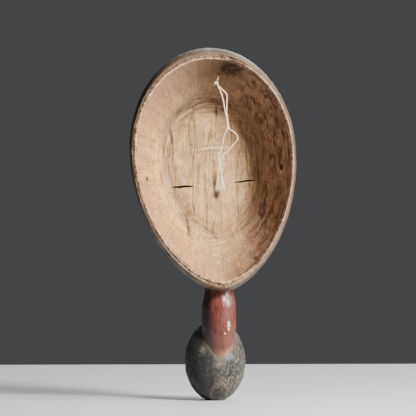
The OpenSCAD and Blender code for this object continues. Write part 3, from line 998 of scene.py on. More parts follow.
@dataclass
class MaskCarving:
    """The mask itself: one closed skin of carved outside, rounded rim and gouged hollow, with its holes cut in."""

    form: MaskForm = field(default_factory=MaskForm)
    around: int = 420
    outer_rings: int = 112
    inner_rings: int = 92
    skin: float = 0.45
    floor_share: float = 0.58
    floor_strokes: int = 110
    band_strokes: int = 70
    wall_strokes: int = 300
    outer_strokes: int = 420
    stroke_reach: float = 9.0
    lip_w: float = 0.95
    edge_w: float = 5.5
    cad_gap: float = 0.2
    seed: int = 11
    at: Array = field(default_factory=lambda: np.zeros(3))

    def settle(self) -> None:
        """Finds where the mask stands, by matching its rule's box to the frame's."""
        turn, rise = np.meshgrid(np.linspace(0, 2 * math.pi, 361), np.linspace(0, math.pi / 2, 91))
        own = self.form.rolled(self.form.outer(turn, rise, 0.0, fine=False)).reshape(-1, 3)
        low, high = cad_box("mask_shell")
        middle = (low + high - own.min(axis=0) - own.max(axis=0)) / 2
        self.at = np.array([middle[0], low[1], middle[2]])
        LOG.info("the mask's middle stands at %s mm", np.round(self.at, 2))

    def placed(self, points: Array) -> Array:
        """Returns points of the mask's own frame in the shared one."""
        return self.form.rolled(points) + self.at

    @staticmethod
    def _stroke(
        rng: np.random.Generator, ring: float, column: float, lean: float, *ranges: tuple[float, float]
    ) -> tuple[float, ...]:
        """Draws one stroke, from its place and angle and the ranges of its half length, half width and depth."""
        return (ring, column, lean, *(rng.uniform(low, high) for low, high in ranges))

    def _strokes(self, rings: Array, marks: Sequence[tuple[float, ...]]) -> Array:
        """Works out how much a set of gouge strokes takes off at each corner.

        Args:
            rings: corners of one side, ring by ring.
            marks: for each stroke its ring, its column, its angle to the ring's spokes, its half length, its half
                width and its depth.

        Returns:
            The deepest cut at each corner.
        """
        count, around = rings.shape[:2]
        flat = rings.reshape(-1, 3)
        cut = np.zeros(len(flat))
        for ring, column, lean, half_l, half_w, depth in marks:
            i, j = int(min(max(ring, 1), count - 2)), int(column) % around
            centre = rings[i, j]
            spoke = unit(rings[i + 1, j] - rings[i - 1, j])
            hoop = unit(rings[i, (j + 1) % around] - rings[i, j - 1])
            along = unit(math.cos(lean) * spoke + math.sin(lean) * hoop)
            face = unit(np.cross(spoke, hoop))
            across = np.cross(face, along)
            off = flat - centre
            u, v, w = off @ along / half_l, off @ across / half_w, off @ face
            shape = depth * np.sqrt(clamp01(1 - u * u)) * clamp01(1 - v * v) * (np.abs(w) < self.stroke_reach)
            np.maximum(cut, shape, out=cut)
        return cut.reshape(count, around)

    def _hollow(self) -> tuple[Array, Array, Array, Array]:
        """Carves the hollow.

        Returns:
            Its corners from the rim to the middle, and for each the turn, the share and the cut.
        """
        rng = np.random.default_rng(self.seed)
        s = np.linspace(0, 1, 400)
        run = np.cumsum(np.hypot(100.0, 4 * self.form.hollow_depth * s**3))
        share = np.interp(
            np.linspace(run[-1], run[0] + 1.2 * (run[-1] - run[0]) / self.inner_rings, self.inner_rings), run, s
        )
        share[0] = 0.9955
        turn, shares = np.meshgrid(full_turn(self.around), share)
        base = self.form.inner(turn, shares)
        ring_at = lambda value: float(np.interp(-value, -share, np.arange(self.inner_rings)))
        marks: list[tuple[float, ...]] = []
        for _ in range(self.floor_strokes):
            radius, angle = math.sqrt(rng.uniform(0, 1)) * self.floor_share, rng.uniform(0, 2 * math.pi)
            upright = math.pi / 2 - angle + rng.normal(0, 0.12)
            column = angle / 2 / math.pi * self.around
            marks.append(self._stroke(rng, ring_at(radius), column, upright, (9, 20), (2.5, 5.0), (0.08, 0.24)))
        for _ in range(self.band_strokes):
            lean = math.pi / 2 + rng.normal(0, 0.08)
            ring, column = ring_at(rng.uniform(self.floor_share, 0.69)), rng.uniform(0, self.around)
            marks.append(self._stroke(rng, ring, column, lean, (9, 18), (1.5, 2.6), (0.2, 0.6)))
        for _ in range(self.wall_strokes):
            ring, column, lean = ring_at(rng.uniform(0.66, 0.98)), rng.uniform(0, self.around), rng.normal(0, 0.3)
            marks.append(self._stroke(rng, ring, column, lean, (6, 13), (3.0, 5.5), (0.1, 0.34)))
        cut = self._strokes(base, marks)
        x, z = base[..., 0], base[..., 2]
        cut = (
            cut + 3.2 * bell(shares - self.floor_share, 0.09)
            + 0.5 * bell(shares - 0.61, 0.02) * clamp01(0.3 + np.sin(turn))
        )
        cut = cut + 3.0 * bell(x - 1.0, 3.4) * bell(z + 34, 17) + 1.6 * bell(x - 1.0, 4.2) * bell(z + 48, 5)
        cut = cut + 0.7 * bell(x + 41.5, 1.3) * bell(z - 16, 14) - 0.5 * bell(z - 4 + 0.004 * x * x, 1.8) * bell(x, 22)
        face = grid_normals(base)
        face = facing_out(face, face[..., 1] * (shares < 0.4))
        cut = cut * clamp01((1 - shares) / 0.03)
        return base + face * cut[..., None], turn, shares, cut

    def _outside(self) -> tuple[Array, Array]:
        """Carves the outside, from the middle of the face to the rim, and returns its corners and their cut."""
        rng = np.random.default_rng(self.seed + 1)
        rises = np.linspace(math.pi / 2, 0.012, self.outer_rings + 1)[1:]
        turn, rise = np.meshgrid(full_turn(self.around), rises)
        base = self.form.outer(turn, rise, -self.skin)
        face = grid_normals(base)
        face = facing_out(face, face[: self.outer_rings // 2, :, 1])
        marks = []
        for _ in range(self.outer_strokes):
            ring, column = rng.uniform(0.1, 0.97) * self.outer_rings, rng.uniform(0, self.around)
            lean = rng.normal(0, 0.5)
            marks.append(self._stroke(rng, ring, column, lean, (9, 17), (4.0, 7.5), (0.08, 0.26)))
        cut = self._strokes(base, marks)
        x, z = base[..., 0], base[..., 2]
        hair = self.form.hair(x, z)
        comb = np.arctan2(x, z + 60) * 42 + 0.5 * np.sin(z / 9 + x / 30)
        cut = cut * (1 - 0.5 * hair) + hair * 0.75 * (0.5 + 0.5 * np.cos(comb * 2.4)) * clamp01(np.sin(rise) * 3 - 0.5)
        cut = cut * clamp01(np.sin(rise) * 9)
        return base - face * cut[..., None], cut

    def _rim(self, rng: np.random.Generator) -> Array:
        """Rounds the rim over, nicks it, and returns its corners from the outer edge to the inner one."""
        turn = full_turn(self.around)
        waves = sum(rng.uniform(0.04, 0.14) * np.sin(k * turn + rng.uniform(0, 6.3)) for k in (2, 3, 5, 8, 13, 21, 34))
        level = 0.45 + waves
        for centre, width, depth in (
            (3.05, 0.02, 0.9), (3.32, 0.015, 0.7), (2.78, 0.03, 0.6), (1.24, 0.05, 2.2), (1.38, 0.035, 1.6),
            (1.11, 0.03, 1.2), (4.1, 0.03, 0.9), (5.2, 0.02, 0.8), (0.4, 0.02, 0.7),
        ):
            level = level + depth * bell(turn - centre, width)
        rings = []
        for inset, drop in (
            (0.42, 0.75), (0.62, 0.3), (1.1, 0.02), (2.0, -0.02), (2.9, 0.0), (3.4, 0.22), (3.75, 0.62)
        ):
            x, z = self.form.egg(turn, inset)
            rings.append(np.stack([x, np.maximum(level + drop, 0.02), z], axis=-1))
        return np.stack(rings)

    def _cracks_and_shade(self, points: Array) -> Array:
        """Returns how dark each corner is made by old cracks, knocks and grime, and by painted shade in the floor's
        middle groove and under the crown, from its place in the mask's own frame.
        """
        x, y, z = points[:, 0], points[:, 1], points[:, 2]
        deep = clamp01((y - 20) / 10)
        # painted shade in the carved groove down the middle of the floor
        dark = 0.95 * bell(x - 1.0, 2.6) * bell(z + 38, 13) * deep + 0.8 * bell(x - 1.0, 3.6) * bell(z + 49, 4) * deep
        for cx, cz, wx, wz, much in (
            (9.8, 43, 1.2, 6, 0.8), (-41.2, 17, 1.1, 9, 0.85), (-57.5, -23, 1.3, 11, 0.6), (39, -9, 1.2, 10, 0.7),
            (-32.6, -80, 1.5, 13, 1.0), (-6, 20, 1.0, 7, 0.5), (16, -8, 1.0, 6, 0.45), (-20, -6, 1.1, 5, 0.5),
            (24, 22, 1.0, 8, 0.45),
        ):
            dark = dark + much * bell(x - cx, wx) * bell(z - cz, wz) * clamp01((y - 8) / 8)
        # painted shade on the top wall under the crown, right of the peg
        dark = dark + 1.8 * bell(x - 28.5, 13) * bell(z - 90.5, 8.5) * clamp01((40 - y) / 20)
        along, across = 0.744 * (x - 40.1) - 0.667 * (z + 123.6), 0.667 * (x - 40.1) + 0.744 * (z + 123.6)
        dark = dark + 2.5 * bell(along, 6) * bell(across, 2.0) * clamp01((16 - y) / 6)
        return clamp01(dark)

    def _red_stain_and_shade(self, points: Array) -> Array:
        """Returns how red-brown each corner of the hollow is, from its place in the mask's own frame: real staining on
        the right, near the left rim and on the lower floor, made stronger on the right wall and laid on the top wall as
        painted shade.
        """
        x, y, z = points[:, 0], points[:, 1], points[:, 2]
        # the right wall: real red staining, made stronger as painted shade
        right = clamp01((x - 34) / 34) * clamp01((60 - y) / 20)
        left = 0.12 * clamp01((-x - 62) / 14) * clamp01((46 - y) / 20)
        # painted shade: the top wall, which faces down, is darkened
        top = 0.55 * clamp01((z - 58) / 30) * clamp01((58 - y) / 20)
        return clamp01(0.65 * right + left + top + 0.4 * bell(x, 24) * bell(z + 70, 22))

    def _cutter(self, probe: BVHTree) -> bpy.types.Object:
        """Makes the solids that are taken out: slits, temple holes and cracks.

        Args:
            probe: the carved skin in the shared frame, in metres, for finding the hollow's floor.

        Returns:
            One object that holds them all.
        """
        form, points, faces = self.form, [], []

        def prism(outline: Array, depths: tuple[float, float], turn_to: Callable[[Array], Array]) -> None:
            """Adds the solid between two copies of an outline, each turned to where it belongs."""
            first, n = len(points), len(outline)
            for depth in depths:
                points.extend(self.placed(turn_to(np.column_stack([outline[:, 0], np.full(n, depth), outline[:, 1]]))))
            faces.extend((first + k, first + (k + 1) % n, first + n + (k + 1) % n, first + n + k) for k in range(n))
            faces.append(tuple(range(first, first + n)))
            faces.append(tuple(range(first + n, first + 2 * n)))

        angle = full_turn(36)
        c, s = math.cos(form.slit_tilt), math.sin(form.slit_tilt)
        for side, height in ((-1, 2.7), (1, 1.9)):
            lens = np.column_stack(
                [form.slit_l / 2 * np.cos(angle), height / 2 * np.sign(np.sin(angle)) * np.abs(np.sin(angle)) ** 1.2]
            )
            lens[:, 1] += 0.25 * np.sin(lens[:, 0] * 0.5) * bell(lens[:, 0], 9)
            middle = np.array([side * form.eye_pitch / 2, form.hollow_depth - 2, -form.eye_drop])
            prism(
                lens,
                (-form.dome_depth / 2, form.dome_depth / 2),
                lambda p: np.column_stack([p[:, 0], p[:, 1] * c + p[:, 2] * s, p[:, 2] * c - p[:, 1] * s]) + middle,
            )
        ring = np.column_stack([form.hole_r * np.cos(angle), form.hole_r * np.sin(angle)])
        for side in (-1, 1):
            prism(
                ring,
                (62.0, 108.0),
                lambda p: np.column_stack([side * p[:, 1], form.hole_in + p[:, 0], -form.hole_drop + p[:, 2]]),
            )
        inward = Vector((0, 1, 0))
        for x0, z0, x1, z1, width in (
            (9.6, 47.7, 10, 38.8, 0.55), (-40.5, 25.5, -42, 9.1, 0.6), (-57.8, -12.8, -57.3, -32.7, 0.5),
            (38.6, 0, 39.2, -17.8, 0.55), (-33, -65.7, -34.8, -77.4, 1.0), (-33.6, -79.4, -31.5, -94.6, 0.9),
        ):
            a, b = self.placed(np.array([x0, 0, z0])), self.placed(np.array([x1, 0, z1]))
            hits = [probe.ray_cast(Vector(tuple(p * MM)) - inward * 0.01, inward)[0] for p in (a, b, (a + b) / 2)]
            if any(h is None for h in hits):
                continue
            a, b, m = (np.array(h) / MM for h in hits)
            across = unit(np.cross(b - a, [0, 1, 0])) * width / 2
            first = len(points)
            for y in (-1.2, 2.4):
                thin = 1.0 if y < 0 else 0.35
                points.extend(
                    [a + [0, y, 0], m + across * thin + [0, y, 0], b + [0, y, 0], m - across * thin + [0, y, 0]]
                )
            faces.extend((first + k, first + (k + 1) % 4, first + 4 + (k + 1) % 4, first + 4 + k) for k in range(4))
            faces.append(tuple(range(first, first + 4)))
            faces.append(tuple(range(first + 4, first + 8)))
        return make_object("hole_cutter", np.array(points), faces, smooth=False)

    def build(self) -> bpy.types.Object:
        """Carves the mask's skin, cuts its holes and stores what its finishes read."""
        outside, outer_cut = self._outside()
        hollow, turn, shares, inner_cut = self._hollow()
        rim = self._rim(np.random.default_rng(self.seed + 2))
        rings = np.concatenate([outside, rim, hollow])
        rings[..., 1] = np.minimum(rings[..., 1], cad_box("mask_shell")[1][1] - self.at[1] - self.cad_gap)
        apex = np.array([0.0, outside[0, :, 1].max(), 0.0])
        points, faces = closed_grid(rings, apex, hollow[-1].mean(axis=0))
        face = grid_normals(rings)
        face = facing_out(face, face[: self.outer_rings // 2, :, 1])
        beside = (np.roll(rings, 1, axis=1) + np.roll(rings, -1, axis=1)) / 2 - rings
        beyond = np.zeros_like(rings)
        beyond[1:-1] = (rings[2:] + rings[:-2]) / 2 - rings[1:-1]
        ridge = -np.einsum("ijk,ijk->ij", beside + beyond, face)
        ridge = (np.roll(ridge, 1, axis=1) + 2 * ridge + np.roll(ridge, -1, axis=1)) / 4
        gap = np.linalg.norm(np.diff(rings, axis=0), axis=-1).mean(axis=1)
        run = np.concatenate([[0], np.cumsum(gap)])
        edge = np.exp(-np.abs(run - run[self.outer_rings + 3]) / self.edge_w)[:, None] + np.zeros(rings.shape[:2])
        # the pale line runs along the rim edge that faces the light from the right, the inner corner on the left and
        # the outer corner on the right: partly worn wood, partly painted highlight
        inner_corner, outer_corner = run[self.outer_rings + 6], run[self.outer_rings + 1]
        swing = clamp01((np.cos(turn[0]) - 0.15) / 0.35)[None, :]
        lip = bell(run[:, None] - (inner_corner * (1 - swing) + outer_corner * swing), self.lip_w)
        share = np.ones(rings.shape[:2])
        share[-self.inner_rings :] = shares
        gouge = np.concatenate([outer_cut, np.zeros(rim.shape[:2]), inner_cut])
        turns = np.broadcast_to(turn[0], rings.shape[:2])
        hair = self.form.hair(rings[..., 0], rings[..., 2])
        hair[self.outer_rings :] = 0
        ring = np.stack([np.cos(turns), np.sin(turns), share], axis=-1)
        keep = {
            "ridge": np.clip(ridge * 6, -1, 1),
            "edge": edge,
            "share": share,
            "gouge": clamp01(gouge),
            "hair": hair,
            "ring": ring,
            "lip": lip,
        }
        stored = {}
        for name, grid in keep.items():
            poles = np.stack([grid[0].mean(axis=0), grid[-1].mean(axis=0)])
            stored[name] = np.concatenate([grid.reshape(-1, *grid.shape[2:]), poles])
        stored["mark"], stored["blush"] = self._cracks_and_shade(points), self._red_stain_and_shade(points)
        world = self.placed(points)
        piece = make_object("mask_carving", world, faces)
        zones = np.full(len(faces), Zone.HOLLOW.value, dtype=np.int32)
        zones[: (self.outer_rings + 1) * self.around] = Zone.OUTSIDE.value
        quads = (len(rings) - 1) * self.around
        zones[quads::2] = Zone.OUTSIDE.value
        piece.data.polygons.foreach_set("material_index", zones)
        tree = point_tree(world)
        probe = BVHTree.FromPolygons((world * MM).tolist(), faces)
        self._subtract(piece, self._cutter(probe))
        nearest = [tree.find(v.co)[1] for v in piece.data.vertices]
        for name, values in stored.items():
            store(piece.data, name, values[nearest])
        piece.data.set_sharp_from_angle(angle=SHARP)
        return piece

    @staticmethod
    def _subtract(piece: bpy.types.Object, cutter: bpy.types.Object) -> None:
        """Takes the cutter out of the piece and leaves plain mesh; the cut walls get the cut finish's slot."""
        for owner in (piece, cutter):
            for zone in Zone:
                owner.data.materials.append(
                    bpy.data.materials.get(f"slot_{zone.name}") or bpy.data.materials.new(f"slot_{zone.name}")
                )
        cutter.data.polygons.foreach_set(
            "material_index", np.full(len(cutter.data.polygons), Zone.CUT.value, dtype=np.int32)
        )
        cut = piece.modifiers.new("holes", "BOOLEAN")
        cut.operation, cut.object, cut.solver = "DIFFERENCE", cutter, "EXACT"
        result = evaluated_mesh(piece)
        piece.modifiers.remove(cut)
        if len(result.polygons) < len(piece.data.polygons) / 2:
            raise RuntimeError(f"the cut took all of {piece.name} away")
        old, piece.data = piece.data, result
        bpy.data.meshes.remove(old)
        bpy.data.objects.remove(cutter)
        result.name = piece.name

    def dress(self, piece: bpy.types.Object, effects: Effects) -> None:
        """Gives the three surfaces their finishes."""
        outside = FacePatina("face_patina", effects, crown_z=(self.at[2] + 82) * MM, chin_z=(self.at[2] - 146) * MM)
        for zone, finish in (
            (Zone.OUTSIDE, outside), (Zone.HOLLOW, HollowWood("hollow_wood", effects)),
            (Zone.CUT, CutWood("cut_wood", effects)),
        ):
            piece.data.materials[zone.value] = finish.make()


# ---------------------------------------------------------------- neck, ball and their dowels


@dataclass
class NeckAndBall:
    """The barrel neck under the chin and the ball that it stands in, with the dowels that hold them."""

    neck_end_r: float = 14.0
    neck_r: float = 19.25
    neck_top_r: float = 16.0
    ball_half_h: float = 45.0
    waist: float = 124.0
    neck_gap: float = 0.12
    ball_gap: float = 0.06
    neck_dents: int = 60
    neck_dent: float = 0.35
    ball_dents: int = 130
    ball_dent: float = 0.55
    around: int = 144
    seed: int = 23

    def settle(self) -> None:
        """Reads the places of neck and ball from the frame."""
        neck_low, neck_high = cad_box("neck")
        ball_low, ball_high = cad_box("ball_foot")
        self.axis = (neck_low + neck_high)[:2] / 2
        self.foot_z, self.ball_top = ball_low[2], ball_high[2]
        self.ball_middle = (ball_low + ball_high) / 2
        self.ball_r = (ball_high[0] - ball_low[0]) / 2
        self.low = neck_low[2]
        self.top = neck_high[2]
        self.band_low = self.low + self.ball_half_h + 3
        self.band_high = self.band_low + 11

    def barrel(self, z: Array) -> Array:
        """Returns the neck's radius at a height."""
        below = (
            self.neck_end_r
            + (self.neck_r - self.neck_end_r) * np.sin(math.pi / 2 * (z - self.low) / (self.band_low - self.low))
        )
        fall = clamp01((z - self.band_high) / (self.waist - self.band_high))
        above = self.neck_top_r + (self.neck_r - self.neck_top_r) * (1 + np.cos(math.pi * fall)) / 2
        return np.where(z < self.band_low, below, np.where(z < self.band_high, self.neck_r, above))

    def _dents(self, rng: np.random.Generator, turn: Array, z: Array, count: int, depth: float) -> Array:
        """Returns shallow knife facets over a round form, always inwards."""
        cut = np.zeros_like(turn * z)
        for _ in range(count):
            a, h, wide, tall, deep = rng.uniform(0, 2 * math.pi), rng.uniform(
                z.min(), z.max()
            ), rng.uniform(0.22, 0.42), rng.uniform(7, 15), depth * rng.uniform(0.4, 1)
            off = (turn - a + math.pi) % (2 * math.pi) - math.pi
            np.maximum(
                cut, deep * clamp01(1 - (off / wide) ** 2) * np.sqrt(clamp01(1 - ((z - h) / tall) ** 2)), out=cut
            )
        return cut

    def _revolve(self, name: str, heights: Array, radii: Array, middle: Array) -> bpy.types.Object:
        """Makes a closed turned form from heights and radii for each ring and angle."""
        turn = full_turn(self.around)
        rings = np.stack(
            [middle[0] + radii * np.cos(turn), middle[1] + radii * np.sin(turn), heights + 0 * turn], axis=-1
        )
        points, faces = closed_grid(rings, rings[0].mean(axis=0), rings[-1].mean(axis=0))
        return make_object(name, points, faces)

    def neck(self, mask: bpy.types.Object) -> bpy.types.Object:
        """Turns the neck and fits its top to the underside of the chin."""
        rng = np.random.default_rng(self.seed)
        turn = full_turn(self.around)
        probe = BVHTree.FromObject(mask, bpy.context.evaluated_depsgraph_get())
        tops = []
        for angle in turn:
            spot = [
                self.axis[0] + self.neck_top_r * math.cos(angle),
                self.axis[1] + self.neck_top_r * math.sin(angle),
                self.band_high,
            ]
            hit = probe.ray_cast(Vector(spot) * MM, Vector((0, 0, 1)), 0.08)[0]
            tops.append(hit[2] / MM if hit else np.nan)
        tops = np.array(tops)
        known = ~np.isnan(tops)
        tops = np.interp(
            turn, turn[known], tops[known], period=2 * math.pi
        ) + 0.5 if known.any() else np.full(len(turn), self.top)
        tops = np.minimum(tops, self.top)
        share = np.concatenate([[0.0, 0.004, 0.012], np.linspace(0.022, 1, 96)])[:, None]
        heights = self.low + share * (tops - self.low)[None, :]
        radii = (
            self.barrel(heights) - self.neck_gap
            - self._dents(rng, turn[None, :] + 0 * heights, heights, self.neck_dents, self.neck_dent)
        )
        radii[0] -= 1.1
        radii[1] -= 0.3
        piece = self._revolve("neck_barrel", heights, radii, self.axis)
        points = corners(piece)
        facing = np.arctan2(points[:, 1] - self.axis[1], points[:, 0] - self.axis[0])
        out = self._seam(points)
        right = bell((facing + 0.9 + math.pi) % (2 * math.pi) - math.pi, 0.55)
        store(
            piece.data,
            "worn",
            clamp01(
                0.7 * bell(out, 1.3) * (0.25 + 0.75 * right) + 0.5 * bell(points[:, 2] - self.low, 1.2)
                + 0.5 * bell(points[:, 2] - self.top + 4, 2.5)
            ),
        )
        return piece

    def _seam(self, points: Array) -> Array:
        """Returns how far points lie from the line where the neck leaves the ball, in millimetres."""
        off = (points - self.ball_middle) / np.array([self.ball_r, self.ball_r, self.ball_half_h])
        depth = (np.linalg.norm(off, axis=1) - 1) * self.ball_r
        gap = np.hypot(points[:, 0] - self.axis[0], points[:, 1] - self.axis[1]) - self.barrel(points[:, 2])
        return np.hypot(depth, gap)

    def ball(self) -> bpy.types.Object:
        """Turns the ball with its flat foot and cuts the seat of the neck into it."""
        rng = np.random.default_rng(self.seed + 1)
        turn = full_turn(self.around)
        centre_z = self.ball_top - self.ball_half_h
        start = math.asin((self.foot_z - centre_z) / self.ball_half_h)
        lift = np.concatenate([[start], np.linspace(start + 0.01, math.pi / 2 - 0.02, 100)])[:, None]
        heights = centre_z + self.ball_half_h * np.sin(lift) + 0 * turn
        radii = (
            self.ball_r * np.cos(lift) - self.ball_gap
            - self._dents(
                rng, turn[None, :] + 0 * heights, heights, self.ball_dents, self.ball_dent
            ) * clamp01(np.cos(lift) * 2)
        )
        radii[0] -= 0.5
        piece = self._revolve("ball", heights, np.maximum(radii, 0.3), self.ball_middle)
        z = np.linspace(self.low - 0.1, self.ball_top + 12, 80)[:, None]
        seat = self._revolve("neck_seat", z + 0 * turn, self.barrel(z) + 0 * turn - 0.02, self.axis)
        MaskCarving._subtract(piece, seat)
        points = corners(piece)
        off = points - np.array([self.axis[0], self.axis[1], 0])
        tip = bell(off[:, 0], 5) * bell(points[:, 2] - self.low + 2.5, 3) * (off[:, 1] < 0)
        chip = bell(off[:, 0] + 18.5, 3.2) * bell(points[:, 2] - 57, 4.5) * (off[:, 1] < 8)
        store(
            piece.data,
            "worn",
            clamp01(0.55 * bell(self._seam(points), 1.3) + 0.8 * tip + 0.8 * chip + 0.5 * bell(points[:, 2], 1.6)),
        )
        piece.data.set_sharp_from_angle(angle=SHARP)
        return piece

    def dress(self, neck: bpy.types.Object, ball: bpy.types.Object, effects: Effects) -> None:
        """Paints neck and ball."""
        neck.data.materials.append(RedPaint("red_paint", effects, axis=tuple(self.axis)).make())
        coat = CharcoalPaint("charcoal_paint", effects).make()
        for index in range(len(ball.data.materials)):
            ball.data.materials[index] = coat


# ---------------------------------------------------------------- peg and string


@dataclass
class PegAndString:
    """The whittled peg in the hollow's crown and the knotted string that hangs from it."""

    knot: Array
    peg_dir: Array
    string_d: float = 1.4
    peg_r: float = 0.85
    peg_deep: float = 5.0
    peg_out: float = 17.0
    ply_pitch: float = 4.6
    fray_l: float = 22.0
    fray_count: int = 30
    fray_spread: float = 3.0
    fibre_r: float = 0.165
    middle_knot: tuple[float, float, float] = (13.2, 0.0, -49.0)
    lower_knot: tuple[float, float, float] = (3.2, -0.2, -83.6)
    left: Sequence[tuple[float, float, float]] = (
        (1.9, -0.3, -1.2), (2.8, -1.2, -4.2), (4.6, -1.4, -8.4), (
            6.4, -1.2, -13.6
        ), (8.2, -1.0, -20.2), (9.4, -0.8, -27.8),
        (10.8, -0.8, -34.0), (12.0, -0.8, -40.0), (12.6, -0.8, -45.0), (12.4, -0.8, -49.0), (11.4, -0.2, -52.4),
        (9.8, 0.6, -55.6), (8.4, 1.2, -59.4), (7.2, 1.4, -66.6), (5.4, 1.2, -73.2), (4.0, 0.8, -77.6),
        (2.8, 0.4, -81.0),
        (2.2, 0.2, -83.6), (2.8, 0.0, -87.0), (3.4, 0.0, -90.6), (3.2, 0.0, -94.6), (2.4, 0.0, -98.0),
    )  # fmt: skip
    right: Sequence[tuple[float, float, float]] = (
        (1.2, 1.9, -0.9), (6.4, 1.2, -6.2), (10.2, 1.4, -9.8), (
            12.2, 1.4, -13.4
        ), (12.0, 1.2, -18.6), (11.6, 1.0, -28.0),
        (12.0, 1.0, -35.0), (13.0, 1.0, -42.0), (13.8, 0.8, -48.4), (16.0, 0.0, -51.0), (19.2, -1.0, -53.0),
        (22.2, -1.6, -56.0), (23.8, -1.8, -59.6), (22.6, -1.6, -63.0), (20.0, -1.4, -66.4), (16.2, -1.2, -70.4),
        (11.8, -1.0, -75.4), (7.0, -0.8, -79.8), (4.2, -0.6, -83.4), (4.6, 0.0, -87.0), (5.0, 0.2, -90.6),
        (5.2, 0.2, -94.6), (5.4, 0.0, -98.0),
    )  # fmt: skip

    def _ply(self, run: Array, angle: Array) -> Array:
        """Returns the radius of a two-ply twist at a run along it and an angle around it."""
        twist = 2 * math.pi * run / self.ply_pitch
        slub = 1 + 0.05 * np.sin(run * 1.7) + 0.04 * np.sin(run * 4.3 + 1)
        return self.string_d / 2 * (0.88 + 0.15 * np.cos(2 * (angle - twist))) * slub

    def _folds(self, piece: bpy.types.Object, path: Array) -> None:
        """Stores how deep each corner of a twisted piece lies between its plies."""
        tree = point_tree(path)
        reach = np.array([tree.find(v.co)[2] for v in piece.data.vertices]) / MM
        store(piece.data, "fold", clamp01((self.string_d * 0.46 - reach) / (self.string_d * 0.09)))

    def strand(self, side: Strand) -> tuple[bpy.types.Object, Array]:
        """Twists one end of the string and returns it with its path, in millimetres."""
        path = smooth_path(self.knot + np.array(self.left if side is Strand.LEFT else self.right), 0.38)
        piece = sweep(f"strand_{side.value}", path, self._ply, 12)
        self._folds(piece, path)
        return piece, path

    def overhand(self, name: str, at: Sequence[float], size: float, lean: float) -> bpy.types.Object:
        """Ties a small knot round one place, as a loop that passes through itself."""
        t = np.linspace(0, 2 * math.pi, 90, endpoint=False)[:-1]
        loop = np.stack([np.sin(t) + 2 * np.sin(2 * t), 1.1 * np.sin(3 * t), np.cos(t) - 2 * np.cos(2 * t)], axis=1) / 3
        c, s = math.cos(lean), math.sin(lean)
        loop = np.stack(
            [loop[:, 0] * c - loop[:, 2] * s, loop[:, 1] * 1.3, loop[:, 0] * s + loop[:, 2] * c], axis=1
        ) * size
        path = smooth_path(self.knot + np.array(at) + loop, 0.3)
        piece = sweep(name, path, self._ply, 10)
        self._folds(piece, path)
        return piece

    def hitch(self) -> bpy.types.Object:
        """Winds the knot on the peg: two turns round it and a tuck across them."""
        ahead = unit(self.peg_dir)
        side = unit(np.cross(ahead, [0.0, 0.0, 1.0]))
        over = np.cross(ahead, side)
        t = np.linspace(-0.15, 2.1, 70)[:, None]
        coil = (
            self.knot
            + (1.79 + 0.04 * np.sin(9 * t)) * (np.cos(2 * math.pi * t) * side + np.sin(2 * math.pi * t) * over)
            + (t - 1.0) * 1.25 * ahead
        )
        tuck = self.knot + np.array(
            [
                (side * 1.95 + over * 0.6) * 1.0 - ahead * 1.1,
                side * 2.1 + over * 0.2,
                side * 1.95 - over * 0.5 + ahead * 1.1,
            ]
        )
        path = smooth_path(np.vstack([coil[::4], tuck]), 0.3)
        piece = sweep("hitch_on_peg", path, self._ply, 10)
        self._folds(piece, path)
        return piece

    def peg(self) -> bpy.types.Object:
        """Whittles the peg, thicker at its root and cut off roughly at its tip."""
        ahead = unit(self.peg_dir)
        base = self.knot - ahead * (self.peg_out - 2)
        path = base + np.linspace(-self.peg_deep + 0.3, self.peg_out - 0.2, 60)[:, None] * ahead
        facets = lambda run, angle: self.peg_r * (
            1.0 - 0.10 * (0.5 + 0.5 * np.cos(5 * angle + 0.12 * run)) - 0.008 * run * 0.5
        )
        return sweep("whittled_peg", path, facets, 20)

    def _fray_tree(self, twine: bpy.types.Material) -> bpy.types.NodeTree:
        """Builds the Geometry Nodes that fan fibres out of a string's end.

        Args:
            twine: what the fibres are made of.

        Returns:
            A tree with inputs for the root, direction, count, length, spread, fibre radius and seed.
        """
        tree = bpy.data.node_groups.new("frayed_fibres", "GeometryNodeTree")
        face = tree.interface
        face.new_socket("Geometry", in_out="OUTPUT", socket_type="NodeSocketGeometry")
        for label, kind in (
            ("Root", "Vector"), ("Direction", "Vector"), ("Count", "Int"), ("Length", "Float"), ("Spread", "Float"),
            ("Fibre Radius", "Float"), ("Seed", "Int"),
        ):
            face.new_socket(label, in_out="INPUT", socket_type=f"NodeSocket{kind}")
        sheet = NodeSheet(tree)
        given = sheet.add("NodeGroupInput").outputs
        line = sheet.add(
            "GeometryNodeCurvePrimitiveLine",
            {"Start": given["Root"], "Direction": given["Direction"], "Length": given["Length"]},
            mode="DIRECTION",
        )
        points = sheet.add("GeometryNodeResampleCurve", {"Curve": line.outputs[0], "Count": 12}, mode="COUNT")
        copies = sheet.add(
            "GeometryNodeDuplicateElements", {"Geometry": points.outputs[0], "Amount": given["Count"]}, domain="SPLINE"
        )
        along = sheet.add("GeometryNodeSplineParameter").outputs["Factor"]
        aim = sheet.add(
            "FunctionNodeRandomValue",
            {
                "Min": (-1.0, -0.45, -0.5),
                "Max": (1.0, 0.45, 0.5),
                "ID": copies.outputs["Duplicate Index"],
                "Seed": given["Seed"],
            },
            data_type="FLOAT_VECTOR",
        )
        fan = sheet.times(sheet.calc("POWER", along, 1.35), given["Spread"])
        off = sheet.add("ShaderNodeVectorMath", {0: aim.outputs[0], "Scale": fan}, operation="SCALE").outputs[0]
        where = sheet.add("GeometryNodeInputPosition").outputs[0]
        shift = sheet.vector("ADD", where, aim.outputs[0])
        curl = sheet.noise(shift, 130.0, Detail=1.0)["Color"]
        even = sheet.vector("SUBTRACT", curl, (0.5, 0.5, 0.5))
        wave = sheet.add(
            "ShaderNodeVectorMath",
            {0: even, "Scale": sheet.times(along, sheet.times(given["Spread"], 1.5))},
            operation="SCALE",
        ).outputs[0]
        both = sheet.vector("ADD", off, wave)
